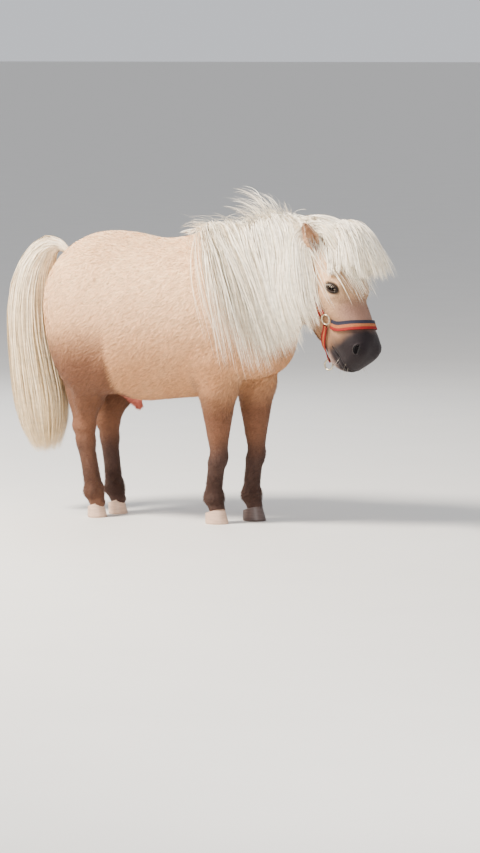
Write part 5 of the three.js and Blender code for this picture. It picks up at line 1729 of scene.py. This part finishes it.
def ring_object(name, normal_at):
    """A ring of the halter, in the middle of the node that it stands for."""
    node = f"halter_{name}"
    low, high = (np.array(corner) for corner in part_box(node))
    centre = ((low + high) / 2 - [ORIGIN_X, 0, 0]) * 1000
    normal = normal_at(centre)
    helper = unit(np.cross(normal, [0.3, 0.2, 0.9]))
    made = placed_shape(name, torus, centre, helper, np.cross(normal, helper), normal)
    dress(made, ring_finish, "ring", node)


def out_of_head(place):
    return unit(slope_of(body_distance, place[None]))[0]


RING_TURNS = 56
RING_SIDES = 16
for side_name in SIDES:
    ring_object(f"side_ring_{side_name}", out_of_head)
ring_object("chin_ring", lambda place: unit(head_turned((0, 1, 0))))

# Stage, light and camera
FLOOR_SIZE = 700.0
half = FLOOR_SIZE / 2
floor_corners = [(-half, -half, 0), (half, -half, 0), (half, half, 0), (-half, half, 0)]
floor = bpy.data.objects.new("floor", bpy.data.meshes.new("floor"))
bpy.context.collection.objects.link(floor)
floor.data.from_pydata(floor_corners, [], [(0, 1, 2, 3)])
floor.data.materials.append(plain_material("floor", linear(214, 212, 208), 0.8, 3, 0.0002, 0.012))

world = bpy.data.worlds.new("soft_room")
bpy.context.scene.world = world
world.use_nodes = True
room_light = {"Color": (0.93, 0.95, 1.0, 1), "Strength": 0.62}
feed(world.node_tree, world.node_tree.nodes["Background"], room_light)


def aim(thing, place, heading):
    """Puts a light or the camera at a place, looking along a heading."""
    made = bpy.data.objects.new(thing.name, thing)
    bpy.context.collection.objects.link(made)
    made.location = place
    made.rotation_euler = heading.to_track_quat("-Z", "Y").to_euler()
    return made


# Lights: place, size, power and colour, all turned to the middle of the body
BODY_MIDDLE = Vector((0, 0, 0.55))
LIGHTS = {
    "high_light": ((-2.4, -2.6, 4.4), 1.6, 640, (1.0, 0.93, 0.84)),
    "side_light": ((3.2, -4.2, 2.2), 2.6, 110, (1.0, 0.98, 0.95)),
    "back_light": ((-2.8, 3.4, 2.8), 2.4, 60, (0.9, 0.95, 1.0)),
}
for name, (place, size, power, colour) in LIGHTS.items():
    light = bpy.data.lights.new(name, "AREA")
    light.shape = "DISK"
    light.size = size
    light.energy = power
    light.color = colour
    aim(light, place, BODY_MIDDLE - Vector(place))

# The camera, from where the horizon and the origin lie in the picture
VIEW_TURN = math.radians(26)
VIEW_REACH = 12.0
VIEW_HEIGHT = 1.48
FOCAL_PIXELS = 3826.0
AIM_PIXELS = 3800
PICTURE_HEIGHT = 853
PICTURE_WIDTH = 480
SENSOR_SIZE = 36.0
HORIZON_ROW = 50
ORIGIN_COLUMN = 171
tilt = math.atan((PICTURE_HEIGHT / 2 - HORIZON_ROW) / AIM_PIXELS)
turn = VIEW_TURN - math.atan((PICTURE_WIDTH / 2 - ORIGIN_COLUMN) / AIM_PIXELS)
lens = bpy.data.cameras.new("camera")
lens.sensor_fit = "VERTICAL"
lens.sensor_height = SENSOR_SIZE
lens.lens = FOCAL_PIXELS / PICTURE_HEIGHT * SENSOR_SIZE
lens.clip_end = 1000
view_place = (VIEW_REACH * math.sin(VIEW_TURN) + ORIGIN_X, -VIEW_REACH * math.cos(VIEW_TURN), VIEW_HEIGHT)
looking = Vector((-math.sin(turn) * math.cos(tilt), math.cos(turn) * math.cos(tilt), -math.sin(tilt)))
bpy.context.scene.camera = aim(lens, view_place, looking)
bpy.context.scene.view_settings.look = "AgX - Medium High Contrast"
